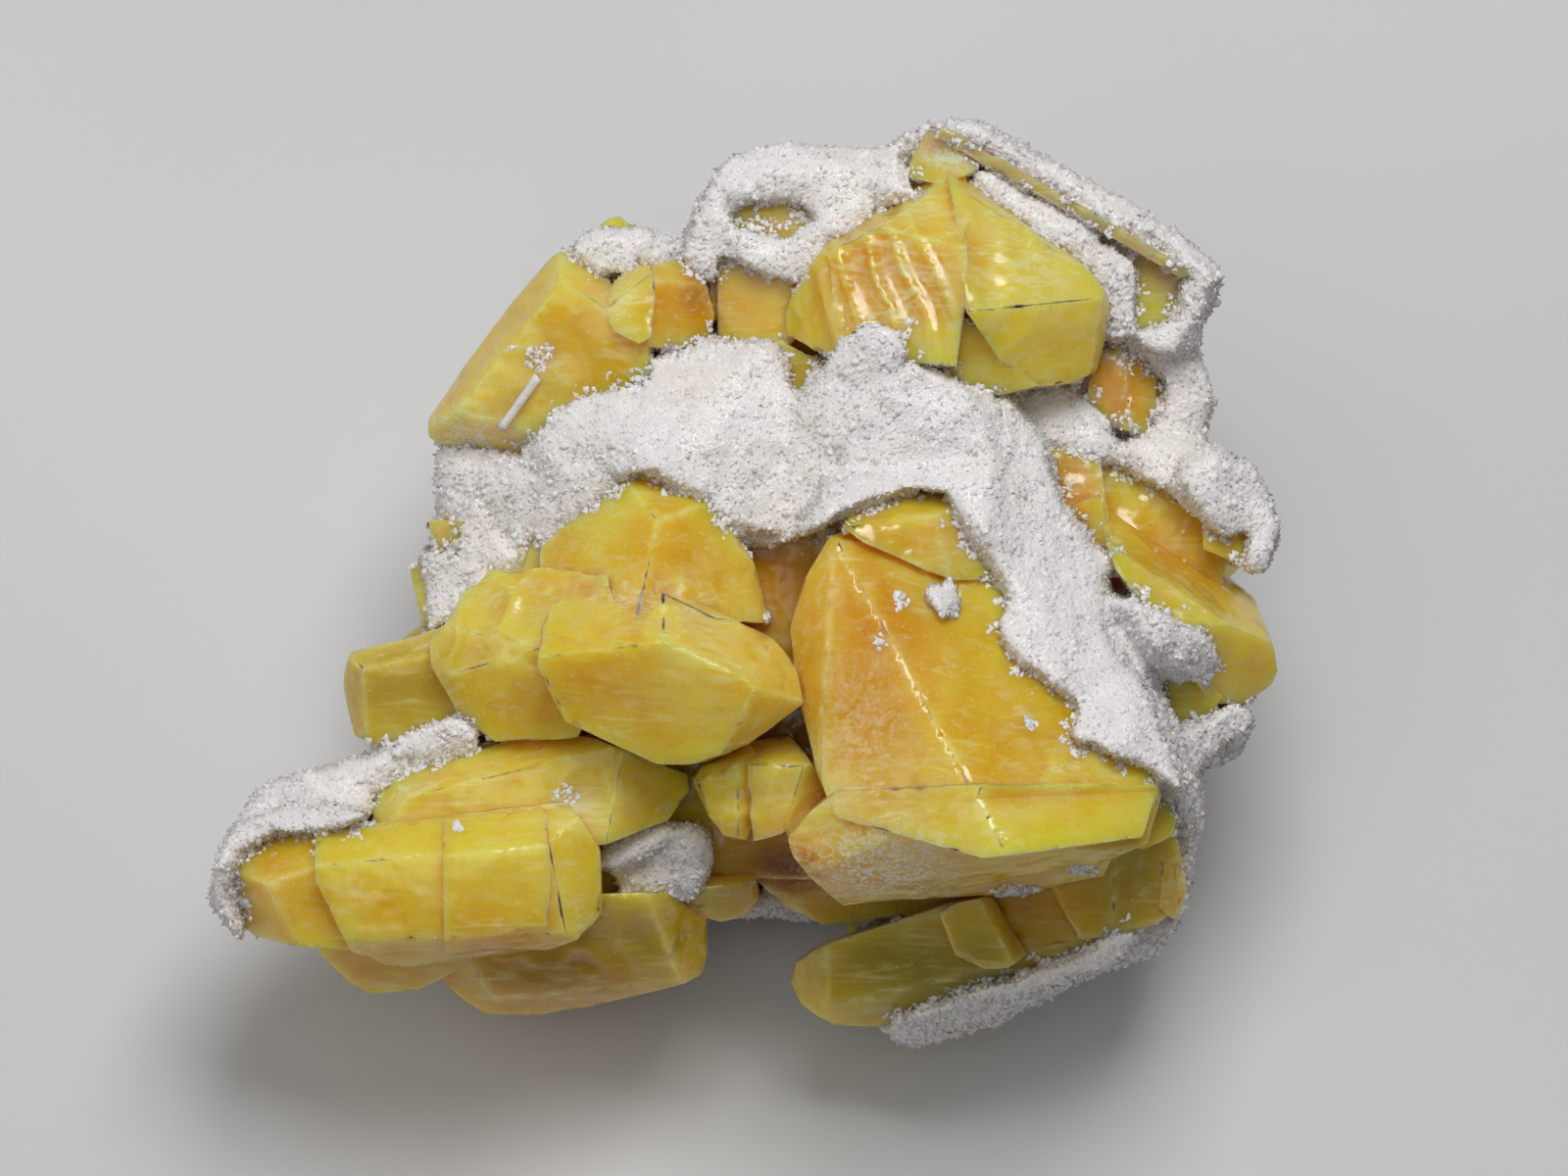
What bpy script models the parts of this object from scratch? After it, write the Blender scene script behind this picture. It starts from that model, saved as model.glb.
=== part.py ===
"""A cluster of native sulfur crystals under a coat of white druse, lying on its broken-off base.

Shapes are given in the frame of the display face, in millimetres: u to the right, v up the face and
w out of it. The face leans back from upright, and the whole cluster rests on a flat break at z = 0.
"""

import math
import random
from collections import namedtuple

import bmesh
import bpy
from mathutils import Matrix, Vector, noise
from mathutils.geometry import tessellate_polygon

MM = 0.001  # metres in a millimetre

# Driving dimensions, in millimetres and degrees
FACE_ELEVATION = 70.0  # how far above the horizon the display face looks
BASE_DROP = 40.0  # from the middle of the display face down to the resting break
CONTACT_GAP = 0.3  # between the sulfur and the druse that coats it
PRISM_TOP = 90.0  # height from which a crystal's facets are cut
DRUSE_DEPTH = 2.9  # thickness of the druse
DRUSE_FOOT = 3.0  # height above the base where the druse gives way to the break
DRUSE_VOXEL = 0.9  # size at which the druse is melted into one piece
DRUSE_LUMP = 0.8  # height of the druse's lumps
DRUSE_LUMP_SIZE = 3.6  # width of the druse's lumps
DRUSE_TRIANGLES = 2000  # triangles that the druse is thinned to
SMALLEST_PATCH = 4.0  # a scrap of druse under this volume, in cubic millimetres, is left out
BACK_STEP = 4  # one in so many of a crystal's outline corners is found again at its back
DEEP = 70.0  # far enough to pass right through the cluster
FLAT_WITHIN = math.radians(0.4)  # facets closer than this in direction are one facet

SULFUR_COLOUR = (0.86, 0.62, 0.05, 1.0)
DRUSE_COLOUR = (0.86, 0.82, 0.80, 1.0)
DRUSE_NODES = ("druse_coat", "druse_nook", "druse_scab")  # its separate bodies, from the largest

# A crystal is a convex outline (u, v) cut by facets, each through three points (u, v, w). It keeps the
# outline's width down to its girdle, and narrows from there to the waist share of it at its back.
Crystal = namedtuple("Crystal", "name outline facets girdle back waist")

SULFUR = (
    Crystal(
        "great_crystal_body",
        [(6.8, 6.0), (4.5, 5.2), (2.2, 1.2), (0.6, -4.0), (1.2, -10.0), (3.2, -18.0), (5.0, -23.0),
         (20.0, -27.0), (36.0, -25.0), (37.8, -20.0), (33.0, -10.0), (24.0, 2.0), (19.0, 5.5), (13.0, 7.0)],
        [[(5.8, 4.0, 17.0), (19.0, -20.6, 27.0), (4.8, -21.2, 21.0)],
         [(5.8, 4.0, 17.0), (19.0, -20.6, 27.0), (37.8, -20.0, 19.0)],
         [(5.0, 5.5, 16.4), (3.4, -18.5, 19.8), (0.6, -4.0, 13.0)],
         [(5.8, 4.6, 17.0), (13.0, 4.0, 14.6), (10.0, 7.0, 9.0)]],
        4.0, -18.0, 0.6,
    ),
    Crystal(
        "great_crystal_foot",
        [(5.0, -20.4), (4.4, -21.2), (0.2, -24.8), (0.8, -27.2), (2.6, -29.3), (6.0, -32.4), (11.4, -30.9),
         (20.0, -29.4), (32.0, -28.0), (36.8, -25.8), (38.0, -21.2), (37.6, -19.8), (19.0, -19.5)],
        [[(4.8, -21.2, 21.0), (18.8, -21.8, 27.0), (2.6, -28.6, 19.0)],
         [(2.6, -28.6, 19.0), (18.8, -21.8, 27.0), (6.0, -32.4, 13.5)],
         [(18.8, -21.8, 27.0), (37.8, -20.0, 19.5), (21.5, -26.2, 23.4)],
         [(21.5, -26.2, 23.4), (36.5, -26.1, 18.0), (30.0, -28.3, 14.5)],
         [(11.0, -30.2, 15.5), (21.5, -26.2, 23.4), (20.0, -29.4, 15.5)]],
        8.0, -8.0, 0.7,
    ),
    Crystal(
        "great_crystal_keel",
        [(6.4, -32.2), (14.0, -31.8), (24.0, -31.2), (32.5, -29.4), (34.0, -26.0), (10.0, -26.0)],
        [[(6.4, -31.0, 9.5), (33.0, -28.5, 11.0), (14.0, -31.8, 7.5)]],
        0.0, -12.0, 0.8,
    ),
    Crystal(
        "great_crystal_spur",
        [(34.0, -18.8), (37.8, -20.0), (40.0, -23.2), (39.6, -25.2), (36.6, -26.6), (32.0, -26.0)],
        [[(34.0, -19.0, 15.0), (40.0, -23.4, 12.0), (35.0, -26.4, 13.0)]],
        5.0, -8.0, 0.8,
    ),
    Crystal(
        "great_crystal_crest",
        [(6.2, 7.7), (6.0, 6.0), (8.0, 4.6), (14.0, 2.4), (17.0, 0.8), (21.8, 0.8), (20.0, 4.5), (17.6, 8.4),
         (16.9, 10.3), (10.4, 9.6)],
        [[(6.2, 5.8, 17.4), (16.4, 7.2, 14.4), (19.0, 0.8, 15.2)],
         [(6.2, 6.4, 17.0), (16.6, 7.6, 14.2), (11.0, 10.0, 9.5)],
         [(15.0, 7.0, 14.9), (16.5, 1.0, 16.0), (21.0, 3.0, 12.4)]],
        5.0, -14.0, 0.7,
    ),
    Crystal(
        "left_wedge_heel",
        [(-36.3, -5.5), (-35.5, -4.8), (-32.2, 0.0), (-30.0, 1.7), (-24.0, 2.0), (-18.0, 1.2), (-17.0, -2.0),
         (-18.0, -10.0), (-21.0, -15.2), (-24.0, -15.0), (-29.5, -15.8), (-33.5, -12.6), (-36.0, -8.0)],
        [[(-35.5, -6.5, 9.0), (-18.0, -5.6, 19.6), (-27.0, 1.8, 9.5)],
         [(-35.5, -6.5, 9.0), (-18.0, -5.6, 19.6), (-28.0, -15.5, 9.5)],
         [(-36.3, -6.0, 7.0), (-33.0, -1.0, 9.0), (-34.0, -10.0, 9.0)]],
        2.0, -14.0, 0.7,
    ),
    Crystal(
        "left_wedge",
        [(-22.5, 0.0), (-16.0, 1.2), (-14.0, 1.0), (-6.0, -2.8), (-1.0, -5.2), (1.2, -8.0), (2.0, -11.6),
         (-3.5, -15.7), (-6.0, -16.7), (-8.8, -17.7), (-12.8, -17.8), (-18.2, -15.0), (-22.0, -13.5),
         (-24.8, -8.0), (-24.5, -4.0)],
        [[(-24.0, -7.0, 21.4), (-3.0, -10.0, 24.6), (-11.0, -17.7, 19.0)],
         [(-24.0, -6.8, 21.4), (-12.0, -6.2, 26.0), (-16.0, 1.2, 14.6)],
         [(-12.0, -6.2, 26.0), (-3.0, -9.6, 24.8), (-6.0, -2.6, 17.4)],
         [(-3.0, -10.0, 24.6), (2.0, -11.4, 19.4), (-1.2, -5.4, 18.0)],
         [(-3.0, -10.0, 24.6), (2.0, -11.4, 19.4), (-3.5, -15.7, 19.6)]],
        8.0, -10.0, 0.65,
    ),
    Crystal(
        "left_rear",
        [(-25.2, 4.0), (-22.0, 6.0), (-20.0, 8.2), (-17.8, 10.4), (-15.0, 12.2), (-11.0, 11.0), (-8.5, 10.3),
         (-5.5, 6.0), (-3.2, 2.8), (-2.2, 0.0), (-1.6, -3.5), (-23.0, -3.5), (-24.5, 0.0)],
        [[(-12.8, 6.8, 15.0), (-14.0, 0.0, 18.5), (-2.0, -2.0, 10.5)],
         [(-12.8, 6.8, 15.0), (-15.5, 0.0, 18.5), (-20.5, 5.0, 9.5)],
         [(-12.8, 6.8, 15.0), (-15.0, 12.2, 6.0), (-8.5, 10.3, 8.0)],
         [(-12.8, 6.8, 15.0), (-16.5, 10.5, 9.0), (-20.0, 7.6, 8.0)]],
        0.0, -20.0, 0.7,
    ),
    Crystal(
        "left_block",
        [(-45.5, -9.0), (-44.6, -6.6), (-40.0, -5.6), (-35.0, -4.2), (-31.0, -6.0), (-30.5, -12.5),
         (-36.8, -14.4), (-38.8, -15.7), (-42.2, -16.2), (-44.3, -15.2), (-45.4, -10.5)],
        [[(-45.0, -9.0, 2.6), (-34.0, -9.0, 5.0), (-40.0, -15.7, 2.2)],
         [(-44.6, -6.6, 0.0), (-35.0, -4.2, 1.6), (-40.0, -7.6, 4.0)],
         [(-45.5, -9.0, -1.0), (-44.8, -14.5, -1.4), (-43.0, -10.8, 2.9)]],
        -4.0, -13.0, 0.7,
    ),
    Crystal(
        "lower_left_rear",
        [(-42.4, -22.5), (-41.8, -20.3), (-39.8, -19.0), (-29.5, -15.9), (-23.8, -14.7), (-19.4, -15.2),
         (-12.6, -17.9), (-9.8, -19.0), (-9.7, -20.6), (-11.8, -23.8), (-18.0, -26.0), (-24.0, -27.0),
         (-40.0, -27.0)],
        [[(-41.0, -22.5, 9.6), (-20.0, -18.4, 12.4), (-20.0, -26.0, 12.0)],
         [(-39.8, -19.0, 5.8), (-24.0, -14.8, 7.4), (-30.0, -19.2, 11.2)],
         [(-16.0, -18.0, 12.4), (-9.7, -19.4, 7.0), (-16.5, -26.0, 11.0)],
         [(-42.4, -22.0, 5.5), (-40.0, -19.0, 6.0), (-40.5, -24.0, 9.4)]],
        -1.0, -12.0, 0.6,
    ),
    Crystal(
        "lower_left_front",
        [(-47.6, -24.6), (-40.0, -24.0), (-30.0, -23.4), (-24.0, -22.2), (-21.6, -21.7), (-18.7, -26.5),
         (-18.5, -33.2), (-21.0, -35.6), (-24.0, -36.7), (-32.0, -37.7), (-38.5, -38.7), (-40.5, -38.5),
         (-44.0, -36.9), (-45.0, -32.5), (-47.5, -29.6)],
        [[(-47.0, -30.0, 14.6), (-22.0, -27.0, 16.6), (-36.0, -36.0, 14.4)],
         [(-47.0, -24.6, 11.0), (-22.0, -21.8, 12.6), (-36.0, -27.2, 16.0)],
         [(-44.0, -37.0, 11.6), (-24.0, -36.8, 12.0), (-35.0, -35.2, 15.0)],
         [(-23.5, -25.0, 16.5), (-22.8, -33.0, 16.0), (-18.6, -29.0, 12.6)]],
        4.0, -4.0, 0.6,
    ),
    Crystal(
        "lower_left_step",
        [(-34.6, -23.4), (-24.2, -22.3), (-23.4, -28.0), (-24.0, -36.4), (-34.4, -37.6)],
        [[(-34.4, -26.6, 16.8), (-23.8, -26.0, 17.4), (-30.0, -35.6, 15.6)],
         [(-34.0, -23.6, 13.0), (-24.4, -22.6, 13.6), (-29.0, -26.4, 17.0)],
         [(-34.0, -37.4, 12.6), (-24.2, -36.4, 12.8), (-29.0, -35.0, 15.8)]],
        8.0, 0.0, 0.8,
    ),
    Crystal(
        "lower_left_tip",
        [(-56.8, -32.2), (-56.4, -28.8), (-54.8, -25.8), (-47.2, -24.6), (-43.0, -25.0), (-42.0, -36.9),
         (-44.0, -36.8), (-50.0, -36.5), (-54.4, -35.5), (-56.2, -34.0)],
        [[(-56.0, -30.0, 10.4), (-44.0, -29.0, 13.2), (-50.0, -35.6, 10.6)],
         [(-56.0, -27.6, 7.0), (-47.0, -24.8, 9.4), (-51.0, -29.4, 11.6)],
         [(-56.8, -32.0, 5.0), (-54.6, -35.2, 5.2), (-51.0, -32.6, 11.4)]],
        1.0, -7.0, 0.6,
    ),
    Crystal(
        "bridge_left",
        [(-9.4, -19.5), (-7.8, -17.6), (-3.6, -15.4), (-2.2, -17.5), (-2.8, -23.0), (-3.8, -25.8),
         (-6.2, -25.2), (-7.6, -23.2)],
        [[(-8.2, -19.0, 12.6), (-4.6, -18.6, 14.8), (-5.6, -25.0, 12.0)],
         [(-4.6, -18.4, 14.8), (-4.6, -24.8, 12.6), (-2.4, -20.0, 12.0)],
         [(-8.6, -18.4, 9.5), (-3.6, -15.4, 11.0), (-6.0, -18.4, 14.0)]],
        4.0, -8.0, 0.8,
    ),
    Crystal(
        "bridge_right",
        [(-3.6, -15.6), (0.6, -15.0), (2.2, -16.8), (3.8, -19.0), (4.6, -21.8), (3.2, -23.6), (-0.4, -25.0),
         (-3.2, -25.8), (-3.8, -20.0)],
        [[(-3.0, -17.6, 15.2), (2.0, -18.6, 16.0), (-1.0, -25.0, 13.4)],
         [(-3.4, -15.8, 11.0), (1.6, -15.6, 11.5), (-0.6, -18.0, 15.8)],
         [(1.8, -18.6, 16.0), (4.6, -21.8, 11.0), (0.6, -24.6, 13.2)]],
        4.0, -8.0, 0.8,
    ),
    Crystal(
        "under_left",
        [(-48.2, -37.5), (-45.0, -41.0), (-42.8, -42.1), (-38.0, -41.6), (-34.5, -40.0), (-30.0, -37.0),
         (-31.0, -31.0), (-46.0, -31.0)],
        [[(-47.0, -37.0, -1.0), (-32.0, -38.0, 0.0), (-40.0, -41.8, -5.0)]],
        -12.0, -22.0, 0.7,
    ),
    Crystal(
        "under_middle",
        [(-36.0, -40.3), (-33.0, -43.0), (-30.8, -44.3), (-26.0, -44.3), (-20.0, -43.4), (-15.5, -41.6),
         (-10.0, -40.8), (-8.4, -40.0), (-7.8, -37.5), (-8.0, -34.0), (-12.0, -31.0), (-33.0, -32.0)],
        [[(-32.0, -38.0, 0.0), (-10.0, -37.5, 2.0), (-20.0, -41.8, -2.0)],
         [(-29.5, -42.2, -2.4), (-14.0, -41.2, -1.6), (-26.0, -44.3, -7.0)],
         [(-32.0, -38.5, 0.0), (-29.5, -42.2, -2.4), (-35.0, -40.5, -5.0)],
         [(-11.0, -34.0, 2.2), (-10.4, -40.4, -0.6), (-7.8, -37.5, -2.5)]],
        -12.0, -24.0, 0.75,
    ),
    Crystal(
        "under_gem",
        [(-10.0, -30.5), (-8.0, -29.5), (-4.5, -28.0), (-2.8, -29.5), (-2.6, -32.2), (-4.2, -34.0),
         (-6.5, -34.6), (-9.8, -33.5)],
        [[(-9.5, -31.5, 1.4), (-3.0, -30.5, 1.0), (-6.0, -34.3, -2.0)],
         [(-9.8, -29.6, 0.0), (-3.4, -28.0, -1.0), (-6.5, -31.2, 2.0)]],
        -6.0, -16.0, 0.8,
    ),
    Crystal(
        "lower_right_long",
        [(0.7, -41.0), (1.2, -38.8), (3.6, -37.0), (10.0, -34.8), (18.0, -32.0), (30.0, -30.0), (35.0, -33.0),
         (32.0, -36.5), (28.0, -38.5), (20.0, -41.2), (10.5, -45.7), (8.0, -45.0), (5.0, -45.3),
         (1.8, -43.2)],
        [[(3.5, -38.0, -0.8), (28.0, -33.0, 3.4), (15.0, -41.0, -1.2)],
         [(4.0, -43.0, -2.6), (22.0, -39.2, 0.0), (10.0, -45.4, -6.6)],
         [(1.0, -40.0, -5.0), (4.2, -38.0, -1.0), (3.2, -43.6, -4.4)]],
        -10.0, -20.0, 0.75,
    ),
    Crystal(
        "lemon_prism",
        [(15.8, -33.2), (17.5, -32.2), (21.2, -31.4), (22.4, -34.5), (25.0, -37.6), (23.0, -39.0),
         (20.6, -39.1), (17.6, -37.6)],
        [[(16.2, -33.6, 6.6), (21.4, -32.0, 8.0), (21.0, -38.9, 4.4)],
         [(21.0, -31.6, 6.0), (21.6, -35.0, 6.6), (24.8, -37.6, 2.0)]],
        0.0, -6.0, 0.8,
    ),
    Crystal(
        "right_block",
        [(26.5, -29.3), (32.0, -28.0), (36.5, -26.2), (40.0, -25.0), (40.8, -28.0), (40.6, -33.0),
         (37.0, -35.0), (30.5, -36.2), (28.2, -32.5)],
        [[(27.0, -29.4, 6.0), (34.0, -28.0, 8.0), (31.0, -36.0, 3.6)],
         [(34.0, -27.6, 8.0), (33.0, -35.4, 4.8), (40.6, -29.0, 4.4)]],
        -2.0, -14.0, 0.8,
    ),
    Crystal(
        "brown_slab",
        [(20.0, -32.5), (21.0, -30.5), (26.5, -29.3), (30.0, -36.0), (25.0, -37.5), (21.5, -35.0)],
        [[(20.0, -31.0, 2.6), (29.0, -30.0, 4.2), (25.0, -37.5, 1.2)]],
        -6.0, -14.0, 0.9,
    ),
    Crystal(
        "lime_edge",
        [(38.8, -28.0), (41.2, -29.2), (41.2, -32.0), (40.2, -34.0), (38.4, -33.0)],
        [[(39.0, -28.6, 5.6), (41.2, -29.4, 3.6), (40.2, -34.0, 2.4)]],
        -4.0, -10.0, 0.9,
    ),
    Crystal(
        "upper_left_long",
        [(-36.8, 17.6), (-33.0, 23.0), (-28.0, 29.5), (-24.0, 34.2), (-22.3, 34.9), (-20.0, 33.0),
         (-16.0, 30.0), (-13.8, 27.0), (-13.6, 22.0), (-20.0, 19.0), (-24.0, 18.0), (-26.5, 13.0),
         (-27.5, 13.6), (-36.0, 14.9), (-36.7, 15.6)],
        [[(-35.0, 17.5, 1.6), (-22.5, 31.0, 6.2), (-26.0, 16.0, 3.0)],
         [(-36.8, 17.6, -3.4), (-23.9, 34.3, 0.0), (-30.0, 22.6, 3.4)],
         [(-36.5, 15.7, -3.4), (-27.5, 14.0, -1.4), (-32.0, 17.2, 2.2)],
         [(-22.3, 34.9, 0.4), (-13.9, 28.0, 3.6), (-21.0, 30.4, 6.4)]],
        -8.0, -18.0, 0.7,
    ),
    Crystal(
        "pale_gem",
        [(-18.6, 29.2), (-17.4, 31.6), (-15.2, 33.1), (-13.5, 33.2), (-13.1, 30.0), (-13.5, 25.5),
         (-14.8, 24.8), (-17.5, 26.2)],
        [[(-18.4, 29.0, 6.4), (-13.6, 32.2, 6.8), (-14.6, 25.2, 8.6)],
         [(-18.2, 30.4, 4.0), (-14.4, 33.2, 4.4), (-16.0, 29.8, 7.6)]],
        -2.0, -10.0, 0.8,
    ),
    Crystal(
        "orange_gem",
        [(-13.9, 33.0), (-11.0, 34.1), (-9.4, 33.5), (-7.8, 30.8), (-7.1, 27.8), (-8.2, 24.4), (-13.8, 24.6)],
        [[(-13.8, 32.0, 6.8), (-13.8, 25.2, 6.6), (-7.6, 28.0, 2.4)],
         [(-13.0, 33.4, 4.0), (-8.4, 32.2, 1.8), (-11.4, 30.6, 6.0)]],
        -4.0, -14.0, 0.8,
    ),
    Crystal(
        "crown_fluted",
        [(0.1, 28.2), (0.8, 30.0), (4.2, 35.0), (5.0, 36.5), (8.0, 38.8), (11.2, 40.6), (14.0, 41.6),
         (18.6, 42.2), (18.6, 30.0), (17.5, 22.4), (12.0, 23.0), (4.8, 23.4), (0.2, 26.0)],
        [[(4.0, 31.0, 9.0), (18.0, 34.0, 14.6), (10.0, 23.0, 11.6)],
         [(0.2, 27.5, 3.4), (3.2, 31.6, 7.4), (4.4, 23.2, 8.2)],
         [(5.0, 36.5, 3.2), (16.0, 42.0, 5.6), (12.0, 37.6, 12.6)],
         [(18.6, 42.2, 7.0), (18.6, 35.0, 14.4), (11.0, 41.0, 7.0)]],
        -2.0, -16.0, 0.7,
    ),
    Crystal(
        "crown_front",
        [(16.6, 42.9), (20.2, 41.8), (26.2, 38.4), (28.2, 35.0), (31.2, 32.4), (33.3, 29.2), (33.5, 27.5),
         (32.0, 22.3), (29.7, 21.0), (25.6, 20.4), (22.0, 23.0), (18.4, 28.0), (17.6, 36.0)],
        [[(19.6, 40.0, 10.0), (19.0, 28.0, 16.4), (32.2, 28.5, 10.6)],
         [(19.0, 28.0, 16.4), (26.0, 20.7, 9.6), (32.0, 23.0, 7.4)],
         [(18.0, 42.4, 5.4), (28.0, 35.0, 7.4), (20.0, 39.4, 10.4)],
         [(33.4, 28.0, 6.6), (32.0, 22.6, 6.0), (31.6, 28.0, 10.6)]],
        -2.0, -16.0, 0.7,
    ),
    Crystal(
        "crown_lip",
        [(13.5, 27.0), (18.5, 27.5), (26.0, 20.5), (22.0, 19.6), (17.5, 19.8), (15.0, 21.5)],
        [[(14.0, 27.0, 12.4), (18.8, 27.0, 13.6), (20.0, 19.8, 9.2)]],
        -2.0, -12.0, 0.8,
    ),
    Crystal(
        "yellow_gap",
        [(-7.0, 40.0), (4.6, 41.0), (5.2, 30.0), (0.4, 24.6), (-6.8, 24.6)],
        [[(-6.8, 40.0, 0.6), (4.6, 40.0, 2.0), (-1.0, 25.0, 1.4)]],
        -8.0, -20.0, 0.8,
    ),
    Crystal(
        "under_crown",
        [(-1.0, 25.6), (4.6, 23.0), (5.0, 20.0), (1.6, 17.4), (-1.0, 20.0)],
        [[(-0.8, 25.0, 3.0), (4.6, 22.8, 4.6), (2.0, 18.0, 3.4)]],
        -6.0, -14.0, 0.8,
    ),
    Crystal(
        "crown_edge",
        [(12.4, 43.4), (14.6, 47.0), (16.4, 47.1), (40.6, 32.6), (41.4, 31.8), (39.2, 26.8), (35.6, 26.2),
         (20.0, 33.0), (13.0, 39.0)],
        [[(15.0, 46.4, 4.6), (40.4, 32.4, 4.2), (26.0, 34.0, 3.6)],
         [(15.6, 46.9, 4.4), (40.8, 32.6, 4.0), (30.0, 41.0, 1.6)],
         [(12.8, 43.0, 3.4), (15.0, 46.6, 4.0), (16.0, 41.0, 6.0)]],
        -6.0, -22.0, 0.75,
    ),
    Crystal(
        "crown_ridge",
        [(16.0, 47.2), (17.2, 46.8), (41.3, 32.7), (41.4, 31.8), (40.5, 31.7), (15.6, 46.0)],
        [[(16.6, 46.4, 7.8), (40.6, 32.4, 7.2), (28.4, 38.4, 7.2)]],
        2.0, -4.0, 1.0,
    ),
    Crystal(
        "crown_apex",
        [(12.6, 42.0), (13.2, 44.6), (14.6, 46.6), (16.0, 47.2), (17.8, 46.4), (20.4, 44.2), (19.4, 42.4),
         (16.0, 41.2)],
        [[(12.6, 42.4, 5.2), (16.0, 47.0, 5.4), (18.6, 43.0, 8.2)],
         [(16.0, 47.0, 5.4), (20.2, 44.2, 5.8), (18.0, 43.0, 8.0)]],
        2.0, -4.0, 1.0,
    ),
    Crystal(
        "right_crystal",
        [(31.2, 12.0), (34.0, 12.8), (36.8, 11.4), (42.2, 8.6), (45.2, 5.3), (48.0, 0.8), (49.1, -3.2),
         (50.3, -6.5), (50.7, -8.6), (50.1, -10.0), (47.6, -11.8), (43.8, -12.0), (38.0, -4.0),
         (33.6, 2.0), (32.0, 8.0)],
        [[(34.0, 9.8, 8.0), (48.2, 0.2, 7.2), (39.5, 0.0, 10.2)],
         [(31.4, 11.8, 4.0), (45.2, 5.2, 2.8), (34.4, 9.6, 8.0)],
         [(34.0, 5.0, 7.4), (39.5, 0.0, 10.2), (46.2, -4.2, 9.0)],
         [(46.2, -4.0, 9.0), (50.4, -6.6, 5.0), (43.8, -11.0, 4.4)],
         [(48.4, 0.2, 7.0), (50.4, -6.6, 5.0), (49.4, -3.0, 4.4)]],
        -3.0, -14.0, 0.6,
    ),
    Crystal(
        "right_fin",
        [(29.0, 8.2), (32.2, 9.7), (34.2, 3.4), (32.2, 3.2), (30.5, 6.0)],
        [[(29.2, 8.0, 5.6), (32.4, 9.4, 7.4), (33.8, 3.4, 6.8)]],
        -2.0, -10.0, 0.9,
    ),
    Crystal(
        "right_shadow",
        [(26.0, 14.8), (32.5, 13.2), (34.0, 3.0), (30.0, 3.0), (27.0, 10.0)],
        [[(26.0, 14.0, 2.6), (33.0, 13.0, 3.4), (31.0, 4.0, 4.4)]],
        -6.0, -14.0, 0.9,
    ),
    Crystal(
        "right_edge",
        [(45.0, 12.4), (47.0, 11.8), (48.1, 9.6), (48.2, 5.4), (46.8, 2.4), (43.0, 4.0), (43.0, 10.0)],
        [[(45.5, 12.2, 2.0), (48.0, 9.4, 1.4), (46.6, 2.6, 2.6)]],
        -6.0, -14.0, 0.8,
    ),
    Crystal(
        "right_lower",
        [(36.8, -8.3), (41.5, -9.0), (45.0, -11.0), (43.8, -13.4), (40.5, -13.8), (38.5, -12.5)],
        [[(36.8, -8.6, 5.4), (44.6, -11.0, 4.4), (40.5, -13.7, 3.4)]],
        -6.0, -14.0, 0.8,
    ),
    Crystal(
        "right_splinter",
        [(44.4, -13.0), (46.0, -11.6), (46.8, -12.6), (45.2, -16.8), (43.8, -16.8)],
        [[(44.4, -13.0, 2.6), (46.4, -12.4, 2.6), (44.6, -16.8, 1.0)]],
        -6.0, -12.0, 0.9,
    ),
    Crystal(
        "amber_block",
        [(31.0, 19.2), (32.0, 24.0), (35.0, 25.4), (38.4, 22.0), (38.2, 18.0), (37.0, 15.6), (34.0, 16.6)],
        [[(31.2, 19.4, 1.0), (34.6, 24.8, 1.2), (35.8, 16.2, 1.8)],
         [(34.8, 25.0, 1.2), (35.8, 16.2, 1.8), (38.4, 20.0, -0.4)]],
        -8.0, -16.0, 0.9,
    ),
    Crystal(
        "left_window",
        [(-36.8, 7.0), (-33.0, 7.2), (-33.4, 3.6), (-34.8, 2.2), (-36.4, 3.8)],
        [[(-36.6, 6.6, -3.6), (-33.0, 6.8, -0.6), (-35.0, 2.6, -2.0)]],
        -8.0, -14.0, 0.9,
    ),
    Crystal(
        "left_fin",
        [(-38.8, 2.2), (-36.6, 3.6), (-33.1, 2.8), (-33.3, -4.2), (-37.4, -4.0), (-38.5, 0.4)],
        [[(-38.6, 2.0, -5.6), (-34.2, 2.6, -3.2), (-36.5, -3.8, -4.0)]],
        -9.0, -16.0, 0.8,
    ),
)

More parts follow.
